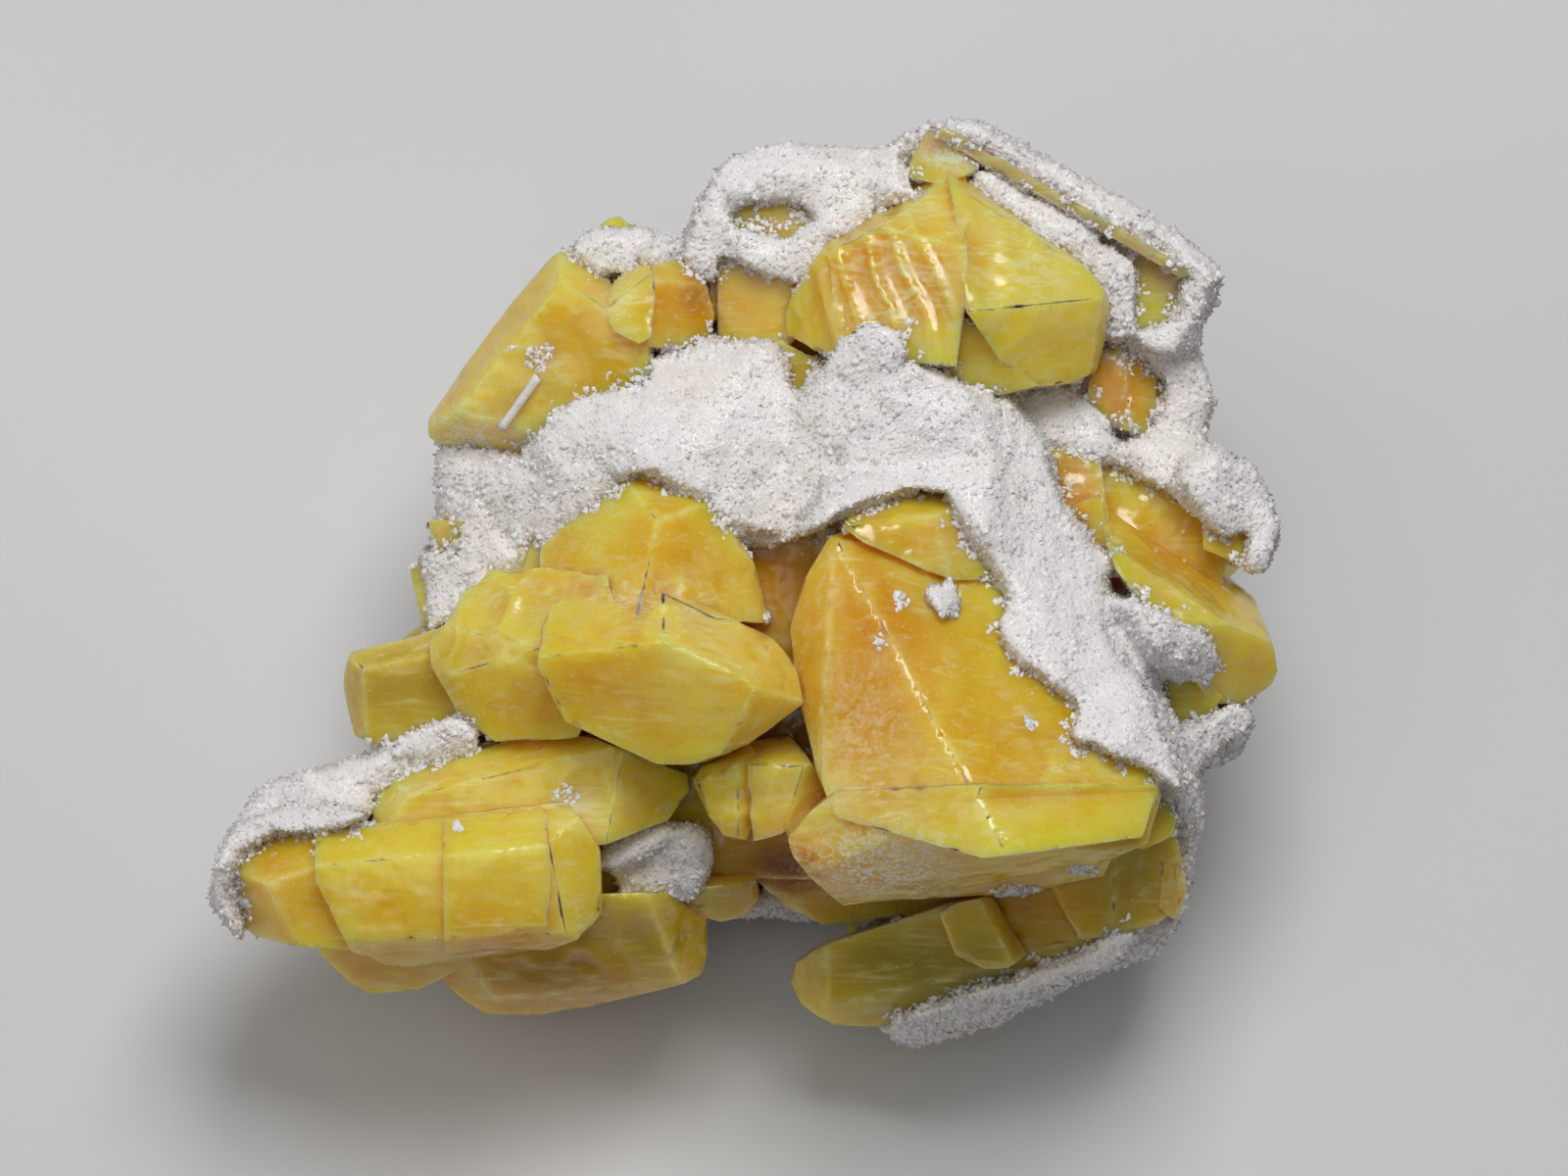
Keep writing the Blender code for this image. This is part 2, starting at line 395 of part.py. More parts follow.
# Blocks of sulfur that carry the crystals: those under the druse, and the broken mass that rests on the
# base. Each is the hull of its points (u, v, w).
SULFUR_MASS = {
    "heart": [
        (-30, -6, 2), (-24, 10, 3), (-8, 18, 3), (20, 20, 3), (33, 8, 2), (36, -14, 2), (30, -28, 0),
        (8, -30, 0), (-3, -30, -2), (-14, -30, 0), (-26, -26, 2),
        (-32, -30, -24), (-12, -31, -26), (8, -32, -26), (30, -30, -24), (38, -20, -24), (40, 4, -26),
        (34, 24, -30), (6, 34, -34), (-20, 26, -30), (-33, 6, -26),
    ],
    "crown_mass": [
        (-7, 41, -1), (10, 43, 0), (40, 28, -1), (41, 18, -2), (30, 14, -1), (-8, 28, -1),
        (-5, 38, -10), (10, 39, -12), (36, 26, -12), (-3, 33, -28), (12, 34, -30), (31, 20, -28),
        (32, 12, -26), (-6, 25, -28),
    ],
    "dome_mass": [
        (-25, 15, 1), (-16, 21, 2.5), (-8, 23, 2.5), (-1, 22, 4), (0, 8, 5), (-8, 8, 8.5), (-14, 12, 9),
        (-23, 8, 2),
        (-30, 14, -4), (-31, 2, -4), (-8, 16, -20), (0, 10, -20), (-26, 8, -18),
    ],
    "hump_mass": [
        (6, 22, 8), (10.5, 24.4, 10.5), (14, 22, 10.5), (17, 19, 9.5), (24, 17, 6), (29, 8, 6), (33, -2, 8),
        (35, -10, 9.5),
        (10, 12, 9.5), (3, 10, 6), (3, 18, 4), (38, -18, 8.5), (39, -26, 6), (20, 4, 9),
        (6, 14, -12), (30, 2, -12), (38, -20, -10),
    ],
    "right_mass": [
        (30, 15, 0), (44, 11, 0), (46, 6, -1), (44, -12, 0), (38, -12, 2), (30, 0, 2),
        (30, 10, -20), (40, 6, -18), (40, -12, -18),
    ],
    "tail_mass": [
        (38, -9, 3), (45, -12, 0), (45.4, -14.4, -2), (43, -15.4, -1), (39.5, -18, 3), (38, -14, 5),
        (38, -10, -14), (44, -13, -12), (40, -17, -12),
    ],
    "lower_left_mass": [
        (-53, -23, 1), (-50, -21, 3), (-36, -17.5, 4), (-30, -15.5, 5), (-22, -20, 5), (-30, -30, 4),
        (-50, -32, 2),
        (-46, -24, -8), (-26, -18, -12), (-24, -30, -12), (-44, -31, -8),
    ],
    "lower_right_mass": [
        (12, -43.6, -8), (16, -44.2, -8), (28, -40, -6), (36, -36.4, -5), (39.5, -34, -4), (40, -24, -2),
        (30, -28, -2), (12, -36, -7),
        (12, -38, -18), (30, -34, -18), (38, -24, -16),
    ],
    "under_mass": [
        (-30, -28, 0), (-10, -27, 2), (-8, -33, 0), (-30, -34, 0), (-28, -30, -20), (-9, -32, -20),
    ],
    "left_mass": [
        (-33.6, 13, -6), (-33.8, 2, -8), (-33, -6, -10), (-28, -2, 0), (-20, 8, 2), (-28, 14, -3),
        (-30, 12, -26), (-31, -4, -24),
    ],
    "cap_mass": [
        (-22, 32, -2), (-19, 33.6, -1), (-12, 33.8, -1), (-9, 31, -2), (-7, 25, -2), (-20, 22, -3),
        (-20, 30, -20), (-8, 30, -24), (-20, 22, -22),
    ],
    "gap_mass": [
        (-4, -25, -1), (-3, -30, -2), (0, -33, -4), (4, -35, -4), (16, -33.4, -3), (30, -30, -2),
        (30, -25, 0),
        (0, -28, -20), (28, -28, -20),
    ],
}

# The broken sulfur that the cluster rests on, in the upright frame over the base: the middle of each
# block, how far it reaches from there, and the number that sets its form.
BLOCKS = {
    "left_root": ((-14, 3, 10), (17, 15, 19), 3),
    "right_root": ((15, -2, 10), (18, 16, 20), 8),
    "rear_root": ((1, 17, 12), (19, 15, 20), 5),
    "front_root": ((-2, -11, 8), (14, 11, 16), 12),
    "middle_root": ((0, 3, 6), (23, 20, 14), 40),
    "rear_left_root": ((-16, 22, 18), (12, 12, 13), 21),
    "rear_right_root": ((19, 19, 18), (13, 13, 14), 30),
}
BLOCK_CORNERS = 18  # how many corners a block is broken to

# Crystals of sulfur's own double-pyramid form on the far sides: where the middle is, which way the long
# axis points, and half its length.
DIPYRAMIDS = {
    "rear_left_crystal": ((-14, 28, -19), (-0.35, 0.85, -0.35), 12.5),
    "rear_crystal": ((3, 35, -21), (0.15, 0.9, -0.45), 12.0),
    "rear_small_crystal": ((14, 33, -30), (-0.4, 1.0, -0.1), 9.0),
    "rear_right_crystal": ((27, 24, -22), (0.75, 0.6, -0.3), 13.5),
    "right_side_crystal": ((39, 3, -17), (0.95, 0.1, -0.4), 11.0),
    "right_front_crystal": ((35, -21, -20), (0.85, -0.45, -0.3), 9.0),
    "left_side_crystal": ((-34, -8, -18), (-0.9, -0.1, -0.3), 10.0),
    "left_front_crystal": ((-30, -24, -22), (-0.8, -0.7, 0.1), 12.0),
    "front_crystal": ((11, -31, -24), (-0.3, -0.9, 0.25), 9.0),
}
# The double pyramid's outline from its middle to its tip: height and width, as shares of half the length
DIPYRAMID_STEPS = ((0.0, 0.52), (0.72, 0.22), (1.0, 0.07))
DIPYRAMID_FLATNESS = 1.28  # the longer over the shorter diagonal of its waist

Patch = namedtuple("Patch", "shapes outline low high depth")

# Where the druse grows: what it coats, the edge of the patch (u, v), the depths w between which it is
# found, and how much of the full thickness it has.
DRUSE = {
    "crown": Patch(
        ("crown_mass", "crown_edge", "yellow_gap", "cap_mass"),
        [(-9.6, 33.0), (-10.1, 36.0), (-9.2, 39.5), (-7.8, 41.8), (-6.5, 43.5), (-5.5, 44.8), (-3.8, 45.3),
         (0.0, 46.1), (6.0, 46.0), (10.0, 45.6), (11.5, 45.9), (12.5, 46.8), (13.5, 47.5), (15.5, 48.2),
         (20.5, 48.2), (23.5, 46.5), (26.0, 45.0), (31.0, 42.0), (35.0, 39.5), (39.5, 37.0), (42.5, 34.8),
         (44.0, 33.5), (44.5, 31.0), (44.3, 29.0), (43.5, 25.5), (42.2, 23.5), (43.6, 21.5), (44.2, 20.0),
         (44.0, 16.0), (42.5, 13.0), (38.0, 13.5), (37.0, 16.5), (30.0, 15.0), (26.0, 14.0), (22.0, 20.0),
         (18.0, 21.0), (4.0, 23.5), (-1.0, 25.0), (-6.5, 26.0), (-8.0, 27.5)],
        -12.0, 30.0, 1.0,
    ),
    "mantle": Patch(
        ("dome_mass", "hump_mass", "left_mass", "great_crystal_body", "great_crystal_crest"),
        [(-25.5, 18.0), (-24.0, 19.0), (-21.5, 20.5), (-19.0, 22.2), (-16.0, 23.5), (-13.5, 25.0),
         (-11.0, 25.5), (-9.0, 24.9), (-6.5, 25.5), (-3.0, 26.2), (0.0, 25.5), (1.2, 22.5), (2.0, 19.0),
         (3.5, 21.0), (4.6, 23.0), (6.2, 25.0), (8.0, 26.5), (10.5, 26.8), (12.5, 26.2), (14.0, 25.5),
         (15.5, 23.5), (16.5, 21.0), (18.5, 20.0), (22.0, 19.7), (24.5, 18.0), (26.0, 16.0), (27.5, 13.0),
         (29.0, 10.0), (30.5, 6.0), (32.5, 3.0), (33.5, 0.0), (35.0, -5.0), (36.5, -9.0), (38.0, -12.0),
         (40.0, -16.0), (42.5, -20.0), (43.0, -23.0), (42.5, -26.0), (41.0, -25.5), (39.8, -22.0),
         (38.5, -20.0), (36.5, -18.5), (34.0, -17.0), (32.2, -16.8), (31.6, -14.4), (29.2, -16.2),
         (28.5, -14.5), (29.4, -12.2), (27.8, -10.0), (26.0, -9.0), (24.5, -7.2), (23.0, -7.8),
         (23.5, -5.5), (22.0, -4.0), (24.0, -2.0), (23.0, 0.0), (22.0, 0.0), (21.5, 1.5), (20.0, 4.0),
         (19.5, 5.2), (18.5, 6.5), (17.5, 8.0), (17.0, 10.0), (14.0, 10.3), (10.5, 9.5), (8.0, 8.5),
         (6.2, 8.0), (5.0, 7.0), (3.5, 6.0), (2.0, 5.2), (0.0, 4.8), (-1.5, 5.2), (-2.5, 4.0), (-4.0, 4.0),
         (-5.2, 5.5), (-6.5, 7.5), (-8.5, 9.0), (-10.0, 10.2), (-12.0, 10.0), (-14.0, 11.2),
         (-14.5, 12.5), (-16.0, 11.0), (-17.8, 10.3), (-19.0, 9.0), (-20.0, 8.0), (-21.5, 5.5),
         (-23.5, 4.5), (-25.2, 3.0), (-27.0, 2.2), (-30.0, 1.5), (-32.0, 0.0), (-33.0, -1.0),
         (-34.8, -3.5), (-36.2, -5.0), (-37.6, -4.2), (-36.0, 0.0), (-36.4, 4.0), (-36.2, 9.0),
         (-36.0, 14.6), (-32.0, 14.2), (-27.0, 13.2), (-26.0, 15.0)],
        -12.0, 40.0, 1.0,
    ),
    "cap": Patch(
        ("cap_mass",),
        [(-22.5, 34.8), (-21.0, 35.7), (-19.7, 36.2), (-18.0, 36.4), (-16.0, 36.5), (-14.5, 36.9),
         (-13.5, 36.8), (-12.0, 36.0), (-10.5, 34.8), (-9.5, 33.8), (-8.0, 31.5), (-7.2, 30.0),
         (-6.5, 27.0), (-7.0, 24.0), (-14.0, 24.0), (-20.0, 30.0)],
        -12.0, 12.0, 1.0,
    ),
    "lower_left": Patch(
        ("lower_left_mass", "lower_left_tip"),
        [(-58.4, -30.0), (-57.8, -28.0), (-57.0, -26.0), (-56.2, -23.8), (-55.5, -22.0), (-54.5, -20.6),
         (-53.8, -20.0), (-52.0, -19.2), (-49.5, -18.5), (-46.0, -18.0), (-42.0, -17.5), (-39.5, -16.0),
         (-37.0, -14.5), (-35.0, -13.6), (-33.0, -13.0), (-31.0, -13.8), (-29.5, -15.7), (-33.0, -16.5),
         (-37.0, -17.8), (-39.8, -19.0), (-41.8, -20.3), (-42.4, -22.0), (-42.0, -23.5), (-45.0, -24.2),
         (-47.5, -24.6), (-51.0, -25.0), (-54.8, -25.8), (-56.0, -27.0), (-56.4, -28.8), (-56.8, -32.2),
         (-56.2, -34.0), (-55.0, -35.5), (-55.5, -36.0), (-57.0, -34.5), (-58.2, -32.5)],
        -12.0, 20.0, 1.0,
    ),
    "lower_right": Patch(
        ("lower_right_mass", "lower_right_long"),
        [(10.5, -45.7), (11.5, -46.5), (13.0, -47.5), (14.8, -47.8), (16.5, -47.2), (18.5, -46.2),
         (21.0, -46.0), (24.0, -44.5), (26.5, -43.5), (30.0, -41.5), (33.0, -40.5), (36.0, -39.0),
         (38.0, -38.5), (40.0, -36.0), (41.5, -34.0), (42.0, -31.5), (42.2, -28.0), (42.5, -25.0),
         (43.0, -23.5), (42.5, -20.0), (39.5, -21.5), (40.0, -25.0), (40.8, -28.0), (41.2, -29.2),
         (41.2, -32.0), (40.2, -34.0), (37.5, -34.6), (35.0, -35.0), (32.0, -36.5), (28.0, -38.5),
         (24.0, -40.0), (20.0, -41.2), (16.0, -42.8), (11.5, -44.2)],
        -12.0, 10.0, 1.0,
    ),
    "right_band": Patch(
        ("right_mass", "right_edge"),
        [(26.0, 16.0), (29.0, 17.5), (33.0, 17.0), (36.5, 16.0), (40.0, 15.0), (43.0, 14.3), (45.5, 13.4),
         (47.5, 12.2), (49.0, 11.0), (50.0, 9.0), (50.7, 5.5), (50.0, 3.0), (48.5, 1.5), (47.5, 2.2),
         (48.5, 4.5), (49.0, 5.2), (48.8, 9.5), (47.6, 12.0), (46.2, 12.2), (45.0, 11.8), (46.5, 10.0),
         (47.0, 7.0), (46.2, 5.5), (45.0, 5.3), (42.2, 8.6), (36.8, 11.4), (34.0, 12.8), (31.2, 12.2),
         (29.5, 13.8), (27.5, 14.5)],
        -12.0, 12.0, 1.0,
    ),
    "right_patch": Patch(
        ("right_crystal", "right_mass", "hump_mass"),
        [(33.0, 0.0), (35.0, -1.2), (38.0, -0.8), (39.0, -2.5), (41.5, -4.0), (43.5, -5.5), (44.5, -8.5),
         (43.8, -10.5), (42.0, -10.0), (40.5, -9.0), (38.0, -8.5), (36.8, -8.3), (35.0, -5.0)],
        -8.0, 20.0, 0.7,
    ),
    "left_tip": Patch(
        ("left_fin", "left_mass"),
        [(-37.9, 3.0), (-36.4, 4.2), (-33.0, 3.0), (-32.0, -4.0), (-36.0, -5.6), (-37.6, -5.0), (-37.0, -2.0),
         (-37.4, 1.0)],
        -14.0, 8.0, 0.7,
    ),
    "right_tail": Patch(
        ("right_mass", "hump_mass", "tail_mass"),
        [(36.5, -8.5), (39.0, -12.5), (40.5, -13.8), (43.5, -13.5), (46.2, -11.5), (47.8, -12.5),
         (48.0, -14.5), (46.8, -17.0), (44.0, -17.5), (41.5, -19.0), (41.5, -21.5), (38.0, -20.0)],
        -12.0, 20.0, 1.2,
    ),
    "face_scab": Patch(
        ("great_crystal_body",),
        [(14.0, 0.8), (15.5, 1.0), (17.0, 0.0), (18.5, -1.2), (17.8, -3.0), (16.2, -3.6), (14.5, -2.5),
         (13.8, -0.8)],
        10.0, 40.0, 0.6,
    ),
    "lower_scab": Patch(
        ("heart", "under_mass", "lower_left_rear"),
        [(-18.2, -25.0), (-16.0, -25.8), (-13.0, -25.0), (-10.0, -23.5), (-7.8, -23.5), (-7.0, -26.0),
         (-7.8, -30.0), (-9.5, -32.0), (-11.0, -32.5), (-12.5, -34.5), (-16.0, -33.5), (-17.5, -31.5),
         (-18.5, -28.0)],
        -6.0, 8.0, 1.0,
    ),
    "far_side": Patch(
        ("heart", *BLOCKS, "crown_mass", "crown_edge", "dome_mass", "hump_mass", "right_mass", "tail_mass",
         "lower_left_mass", "lower_right_mass", "left_mass", "cap_mass"),
        [(-58.0, -38.0), (-58.0, -18.0), (-38.0, 4.0), (-36.0, 15.0), (-24.0, 35.0), (-10.0, 36.0),
         (-9.0, 44.0), (8.0, 47.0), (24.0, 46.0), (45.0, 32.0), (46.0, 15.0), (50.0, 8.0), (49.0, -12.0),
         (44.0, -24.0), (40.0, -40.0), (12.0, -48.0), (10.0, -38.0), (-4.0, -36.0), (-34.0, -40.0)],
        -60.0, -10.0, 1.0,
    ),
}

# Gaps in the druse where the sulfur shows: the edge (u, v), and the depth w above which it is open
WINDOWS = {
    "upper_gap": ([(-5.5, 39.2), (-1.0, 39.4), (3.4, 39.0), (3.6, 36.6), (0.0, 35.6), (-3.0, 36.8),
                   (-5.4, 36.0)], -4.0),
    "lower_gap": ([(-7.4, 34.4), (-4.4, 34.0), (-1.6, 32.0), (1.0, 32.2), (1.2, 25.2), (-4.0, 25.0),
                   (-7.6, 25.8)], -4.0),
    "under_crown_gap": ([(-0.6, 25.4), (3.0, 25.6), (4.4, 23.0), (3.2, 20.2), (1.4, 18.4),
                         (0.0, 21.0)], -4.0),
    "crown_ridge": ([(11.8, 41.0), (12.4, 44.8), (14.2, 47.2), (17.4, 47.2), (29.0, 40.6), (41.8, 33.2),
                     (42.0, 31.4), (40.4, 30.8), (40.2, 27.6), (38.0, 26.0), (35.0, 26.2), (36.0, 30.4),
                     (36.0, 33.4), (28.0, 38.0), (20.6, 42.4), (16.0, 40.6)], 0.0),
    "amber_gap": ([(30.2, 19.6), (31.0, 24.6), (35.0, 26.0), (39.2, 22.2), (39.0, 17.6), (37.0, 14.8),
                   (33.4, 16.0)], -4.0),
    "left_gap": ([(-37.0, 7.0), (-33.4, 7.0), (-33.8, 3.6), (-36.6, 2.6)], -9.0),
}


def face_matrix():
    """The matrix from the display face's frame to the upright frame over the base, in millimetres."""
    tilt = math.radians(FACE_ELEVATION)
    right = Vector((1, 0, 0))
    up = Vector((0, math.sin(tilt), math.cos(tilt)))
    out = Vector((0, -math.cos(tilt), math.sin(tilt)))
    turn = Matrix((right, up, out)).transposed().to_4x4()
    return Matrix.Translation((0, 0, BASE_DROP)) @ turn


def clear_scene():
    for obj in list(bpy.data.objects):
        bpy.data.objects.remove(obj)


def hull_of(points):
    """The convex hull of points as a bmesh, with its flat facets whole."""
    bm = bmesh.new()
    for point in points:
        bm.verts.new(point)
    made = bmesh.ops.convex_hull(bm, input=bm.verts)
    spare = {v for v in made["geom_interior"] + made["geom_unused"] if isinstance(v, bmesh.types.BMVert)}
    bmesh.ops.delete(bm, geom=list(spare), context="VERTS")
    bmesh.ops.dissolve_limit(bm, angle_limit=FLAT_WITHIN, verts=bm.verts, edges=bm.edges)
    bmesh.ops.recalc_face_normals(bm, faces=bm.faces)
    return bm


def prism_of(outline, low, high):
    """The upright prism over an outline, which may turn inwards, as a bmesh."""
    bm = bmesh.new()
    floor = [bm.verts.new((*p, low)) for p in outline]
    roof = [bm.verts.new((*p, high)) for p in outline]
    bm.faces.new(floor)
    bm.faces.new(roof)
    for i, corner in enumerate(floor):
        bm.faces.new((floor[i - 1], corner, roof[i], roof[i - 1]))
    bmesh.ops.recalc_face_normals(bm, faces=bm.faces)
    return bm


def ground_of(height):
    """A block that fills all below a height over the base, in the display face's frame."""
    to_face = face_matrix().inverted()
    corners = [
        to_face @ Vector((x, y, z))
        for x in (-2 * DEEP, 2 * DEEP)
        for y in (-2 * DEEP, 2 * DEEP)
        for z in (-DEEP, height)
    ]
    return hull_of(corners)


def cut_by(bm, facet):
    """Cuts off what lies above the plane through the facet's three points."""
    a, b, c = (Vector(p) for p in facet)
    normal = (b - a).cross(c - a)
    if normal.z < 0:
        normal.negate()
    geometry = bm.verts[:] + bm.edges[:] + bm.faces[:]
    cut = bmesh.ops.bisect_plane(bm, geom=geometry, plane_co=a, plane_no=normal, clear_outer=True)
    rim = [e for e in cut["geom_cut"] if isinstance(e, bmesh.types.BMEdge)]
    if rim:
        bmesh.ops.holes_fill(bm, edges=rim)


def crystal_corners(crystal):
    """The corners of one crystal of the display face."""
    middle = sum((Vector(p) for p in crystal.outline), Vector((0, 0))) / len(crystal.outline)
    bm = hull_of([(*p, w) for p in crystal.outline for w in (crystal.girdle, PRISM_TOP)])
    for facet in crystal.facets:
        cut_by(bm, facet)
    points = [v.co.copy() for v in bm.verts]
    bm.free()
    narrow = [middle + (Vector(p) - middle) * crystal.waist for p in crystal.outline[::BACK_STEP]]
    return points + [(*p, crystal.back) for p in narrow]


def dipyramid_corners(middle, pointing, half_length):
    """The corners of a double pyramid with blunted tips."""
    turn = Vector(pointing).to_track_quat("Z", "X")
    waist = ((1, 0), (-1, 0), (0, DIPYRAMID_FLATNESS), (0, -DIPYRAMID_FLATNESS))
    return [
        Vector(middle) + turn @ (Vector((x * width, y * width, end)) * half_length)
        for height, width in DIPYRAMID_STEPS
        for end in (-height, height)
        for x, y in waist
    ]


def block_corners(middle, reach, seed):
    """The corners of a broken block, placed in the upright frame and given in the display face's."""
    to_face = face_matrix().inverted()
    pick = random.Random(seed)
    corners = []
    for _ in range(BLOCK_CORNERS):
        point = Vector([pick.gauss(0.0, 1.0) for _ in range(3)]).normalized() * pick.uniform(0.85, 1.05)
        corners.append(to_face @ (Vector(middle) + Vector([p * r for p, r in zip(point, reach)])))
    return corners


def all_sulfur_shapes():
    """The corners of every convex shape that the sulfur is joined from, by name."""
    shapes = dict(SULFUR_MASS)
    for name, block in BLOCKS.items():
        shapes[name] = block_corners(*block)
    for crystal in SULFUR:
        shapes[crystal.name] = crystal_corners(crystal)
    for name, form in DIPYRAMIDS.items():
        shapes[name] = dipyramid_corners(*form)
    return shapes


def grown_hull(points, distance):
    """The convex hull of points as a bmesh, with every face moved out by a distance."""
    bm = hull_of(points)
    middle = sum((v.co for v in bm.verts), Vector()) / len(bm.verts)
    bm.normal_update()
    poles = [f.normal / ((f.verts[0].co - middle).dot(f.normal) + distance) for f in bm.faces]
    bm.free()
    dual = hull_of(poles)
    dual.normal_update()
    corners = [middle + f.normal / f.verts[0].co.dot(f.normal) for f in dual.faces]
    dual.free()
    return hull_of(corners)


def add_object(name, bm, collection=None):
    mesh = bpy.data.meshes.new(name)
    bm.to_mesh(mesh)
    bm.free()
    obj = bpy.data.objects.new(name, mesh)
    (collection or bpy.context.scene.collection).objects.link(obj)
    return obj


def apply_modifiers(obj):
    """Replaces the object's mesh with what its modifiers make of it."""
    bpy.context.view_layer.update()
    graph = bpy.context.evaluated_depsgraph_get()
    mesh = bpy.data.meshes.new_from_object(obj.evaluated_get(graph))
    obj.modifiers.clear()
    obj.data = mesh


def combine(obj, operation, shapes, folded=False):
    """Joins, cuts or limits the object, which may be folded through itself, with bmesh shapes."""
    collection = bpy.data.collections.new("tools")
    bpy.context.scene.collection.children.link(collection)
    for bm in shapes:
        add_object("tool", bm, collection)
    modifier = obj.modifiers.new(operation, "BOOLEAN")
    modifier.operation = operation
    modifier.solver = "EXACT"
    modifier.use_self = folded
    modifier.operand_type = "COLLECTION"
    modifier.collection = collection
    apply_modifiers(obj)
    for tool in list(collection.objects):
        bpy.data.objects.remove(tool)
    bpy.data.collections.remove(collection)


def bmesh_of(obj):
    bm = bmesh.new()
    bm.from_mesh(obj.data)
    return bm


def shells_of(bm):
    """The separate closed surfaces of a bmesh, each as a list of faces."""
    waiting = set(bm.faces)
    shells = []
    while waiting:
        front = [waiting.pop()]
        shell = []
        while front:
            face = front.pop()
            shell.append(face)
            for edge in face.edges:
                for other in edge.link_faces:
                    if other in waiting:
                        waiting.discard(other)
                        front.append(other)
        shells.append(shell)
    return shells


def volume_within(shell):
    """The signed volume inside a closed surface: negative for the wall of a hollow."""
    total = 0.0
    for face in shell:
        corners = [v.co for v in face.verts]
        for i in range(1, len(corners) - 1):
            total += corners[0].dot(corners[i].cross(corners[i + 1])) / 6
    return total


def keep_shells(obj, least):
    """Removes the walls of sealed hollows and bodies under a volume from an object."""
    bm = bmesh_of(obj)
    for shell in shells_of(bm):
        if volume_within(shell) < least:
            bmesh.ops.delete(bm, geom=shell, context="FACES")
    bm.to_mesh(obj.data)
    bm.free()


def sulfur_body(name, shapes, growth):
    """All the sulfur as one solid, with its faces moved out by growth."""
    hulls = [grown_hull(points, growth) if growth else hull_of(points) for points in shapes.values()]
    body = add_object(name, hulls[0])
    combine(body, "UNION", hulls[1:])
    keep_shells(body, SMALLEST_PATCH)
    return body


def druse_patch(patch, shapes):
    """The solid of one patch of druse, not yet hollowed for the sulfur it grows on."""
    hulls = [grown_hull(shapes[name], DRUSE_DEPTH * patch.depth) for name in patch.shapes]
    body = add_object("druse", hulls[0])
    if hulls[1:]:
        combine(body, "UNION", hulls[1:])
    combine(body, "INTERSECT", [prism_of(patch.outline, patch.low, patch.high)])
    return body


def raise_lumps(mesh):
    """Moves a mesh's corners in and out to make it lumpy."""
    normals = [vertex.normal.copy() for vertex in mesh.vertices]
    for vertex, normal in zip(mesh.vertices, normals):
        lump = noise.noise(vertex.co / DRUSE_LUMP_SIZE)
        swell = noise.noise(vertex.co / (3 * DRUSE_LUMP_SIZE) + Vector((7, 7, 7)))
        vertex.co += normal * DRUSE_LUMP * (lump + swell)


def melt(obj):
    """Makes one even skin of the object's shapes."""
    obj.modifiers.new("melt", "REMESH").voxel_size = DRUSE_VOXEL
    apply_modifiers(obj)


def druse_body(shapes):
    """All the druse, hollowed for the sulfur, in one object."""
    first, *others = (druse_patch(patch, shapes) for patch in DRUSE.values())
    for other in others:
        combine(first, "UNION", [bmesh_of(other)])
        bpy.data.objects.remove(other)
    combine(first, "DIFFERENCE", [prism_of(outline, low, DEEP) for outline, low in WINDOWS.values()])
    melt(first)
    raise_lumps(first.data)
    melt(first)
    thin = first.modifiers.new("thin", "DECIMATE")
    thin.ratio = DRUSE_TRIANGLES / (2 * len(first.data.polygons))
    apply_modifiers(first)
    combine(first, "DIFFERENCE", [ground_of(DRUSE_FOOT)], folded=True)
    cutter = sulfur_body("cutter", shapes, CONTACT_GAP)
    combine(first, "DIFFERENCE", [bmesh_of(cutter)], folded=True)
    bpy.data.objects.remove(cutter)
    keep_shells(first, SMALLEST_PATCH)
    return first


def split_bodies(obj, names):
    """Makes an object of each separate body, the largest first, and returns them."""
    whole = bmesh_of(obj)
    count = len(shells_of(whole))
    whole.free()
    bodies = []
    for rank, name in zip(range(count), names):
        bm = bmesh_of(obj)
        shells = sorted(shells_of(bm), key=volume_within, reverse=True)
        spare = [face for i, shell in enumerate(shells) if i != rank for face in shell]
        bmesh.ops.delete(bm, geom=spare, context="FACES")
        bodies.append(add_object(name, bm))
    bpy.data.objects.remove(obj)
    return bodies


def set_material(obj, colour, roughness):
    material = bpy.data.materials.new(obj.name)
    material.use_nodes = True
    shader = material.node_tree.nodes["Principled BSDF"]
    shader.inputs["Base Color"].default_value = colour
    shader.inputs["Roughness"].default_value = roughness
    obj.data.materials.clear()
    obj.data.materials.append(material)


def main():
    clear_scene()
    shapes = all_sulfur_shapes()
    sulfur = sulfur_body("sulfur_crystals", shapes, 0.0)
    combine(sulfur, "DIFFERENCE", [ground_of(0.0)])
    druse = split_bodies(druse_body(shapes), DRUSE_NODES)
    to_world = Matrix.Scale(MM, 4) @ face_matrix()
    for obj in (sulfur, *druse):
        obj.data.transform(to_world)
    set_material(sulfur, SULFUR_COLOUR, 0.3)
    for obj in druse:
        set_material(obj, DRUSE_COLOUR, 0.7)


if __name__ == "__main__":
    main()
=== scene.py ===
"""A cluster of native sulfur crystals under a coat of white druse, on a pale studio floor.

The display face's own frame is in millimetres: u to the right, v up the face and w out of it.
"""

import math

import bmesh
import bpy
import numpy as np
from mathutils import Matrix, Vector, noise
from mathutils.bvhtree import BVHTree
from mathutils.kdtree import KDTree

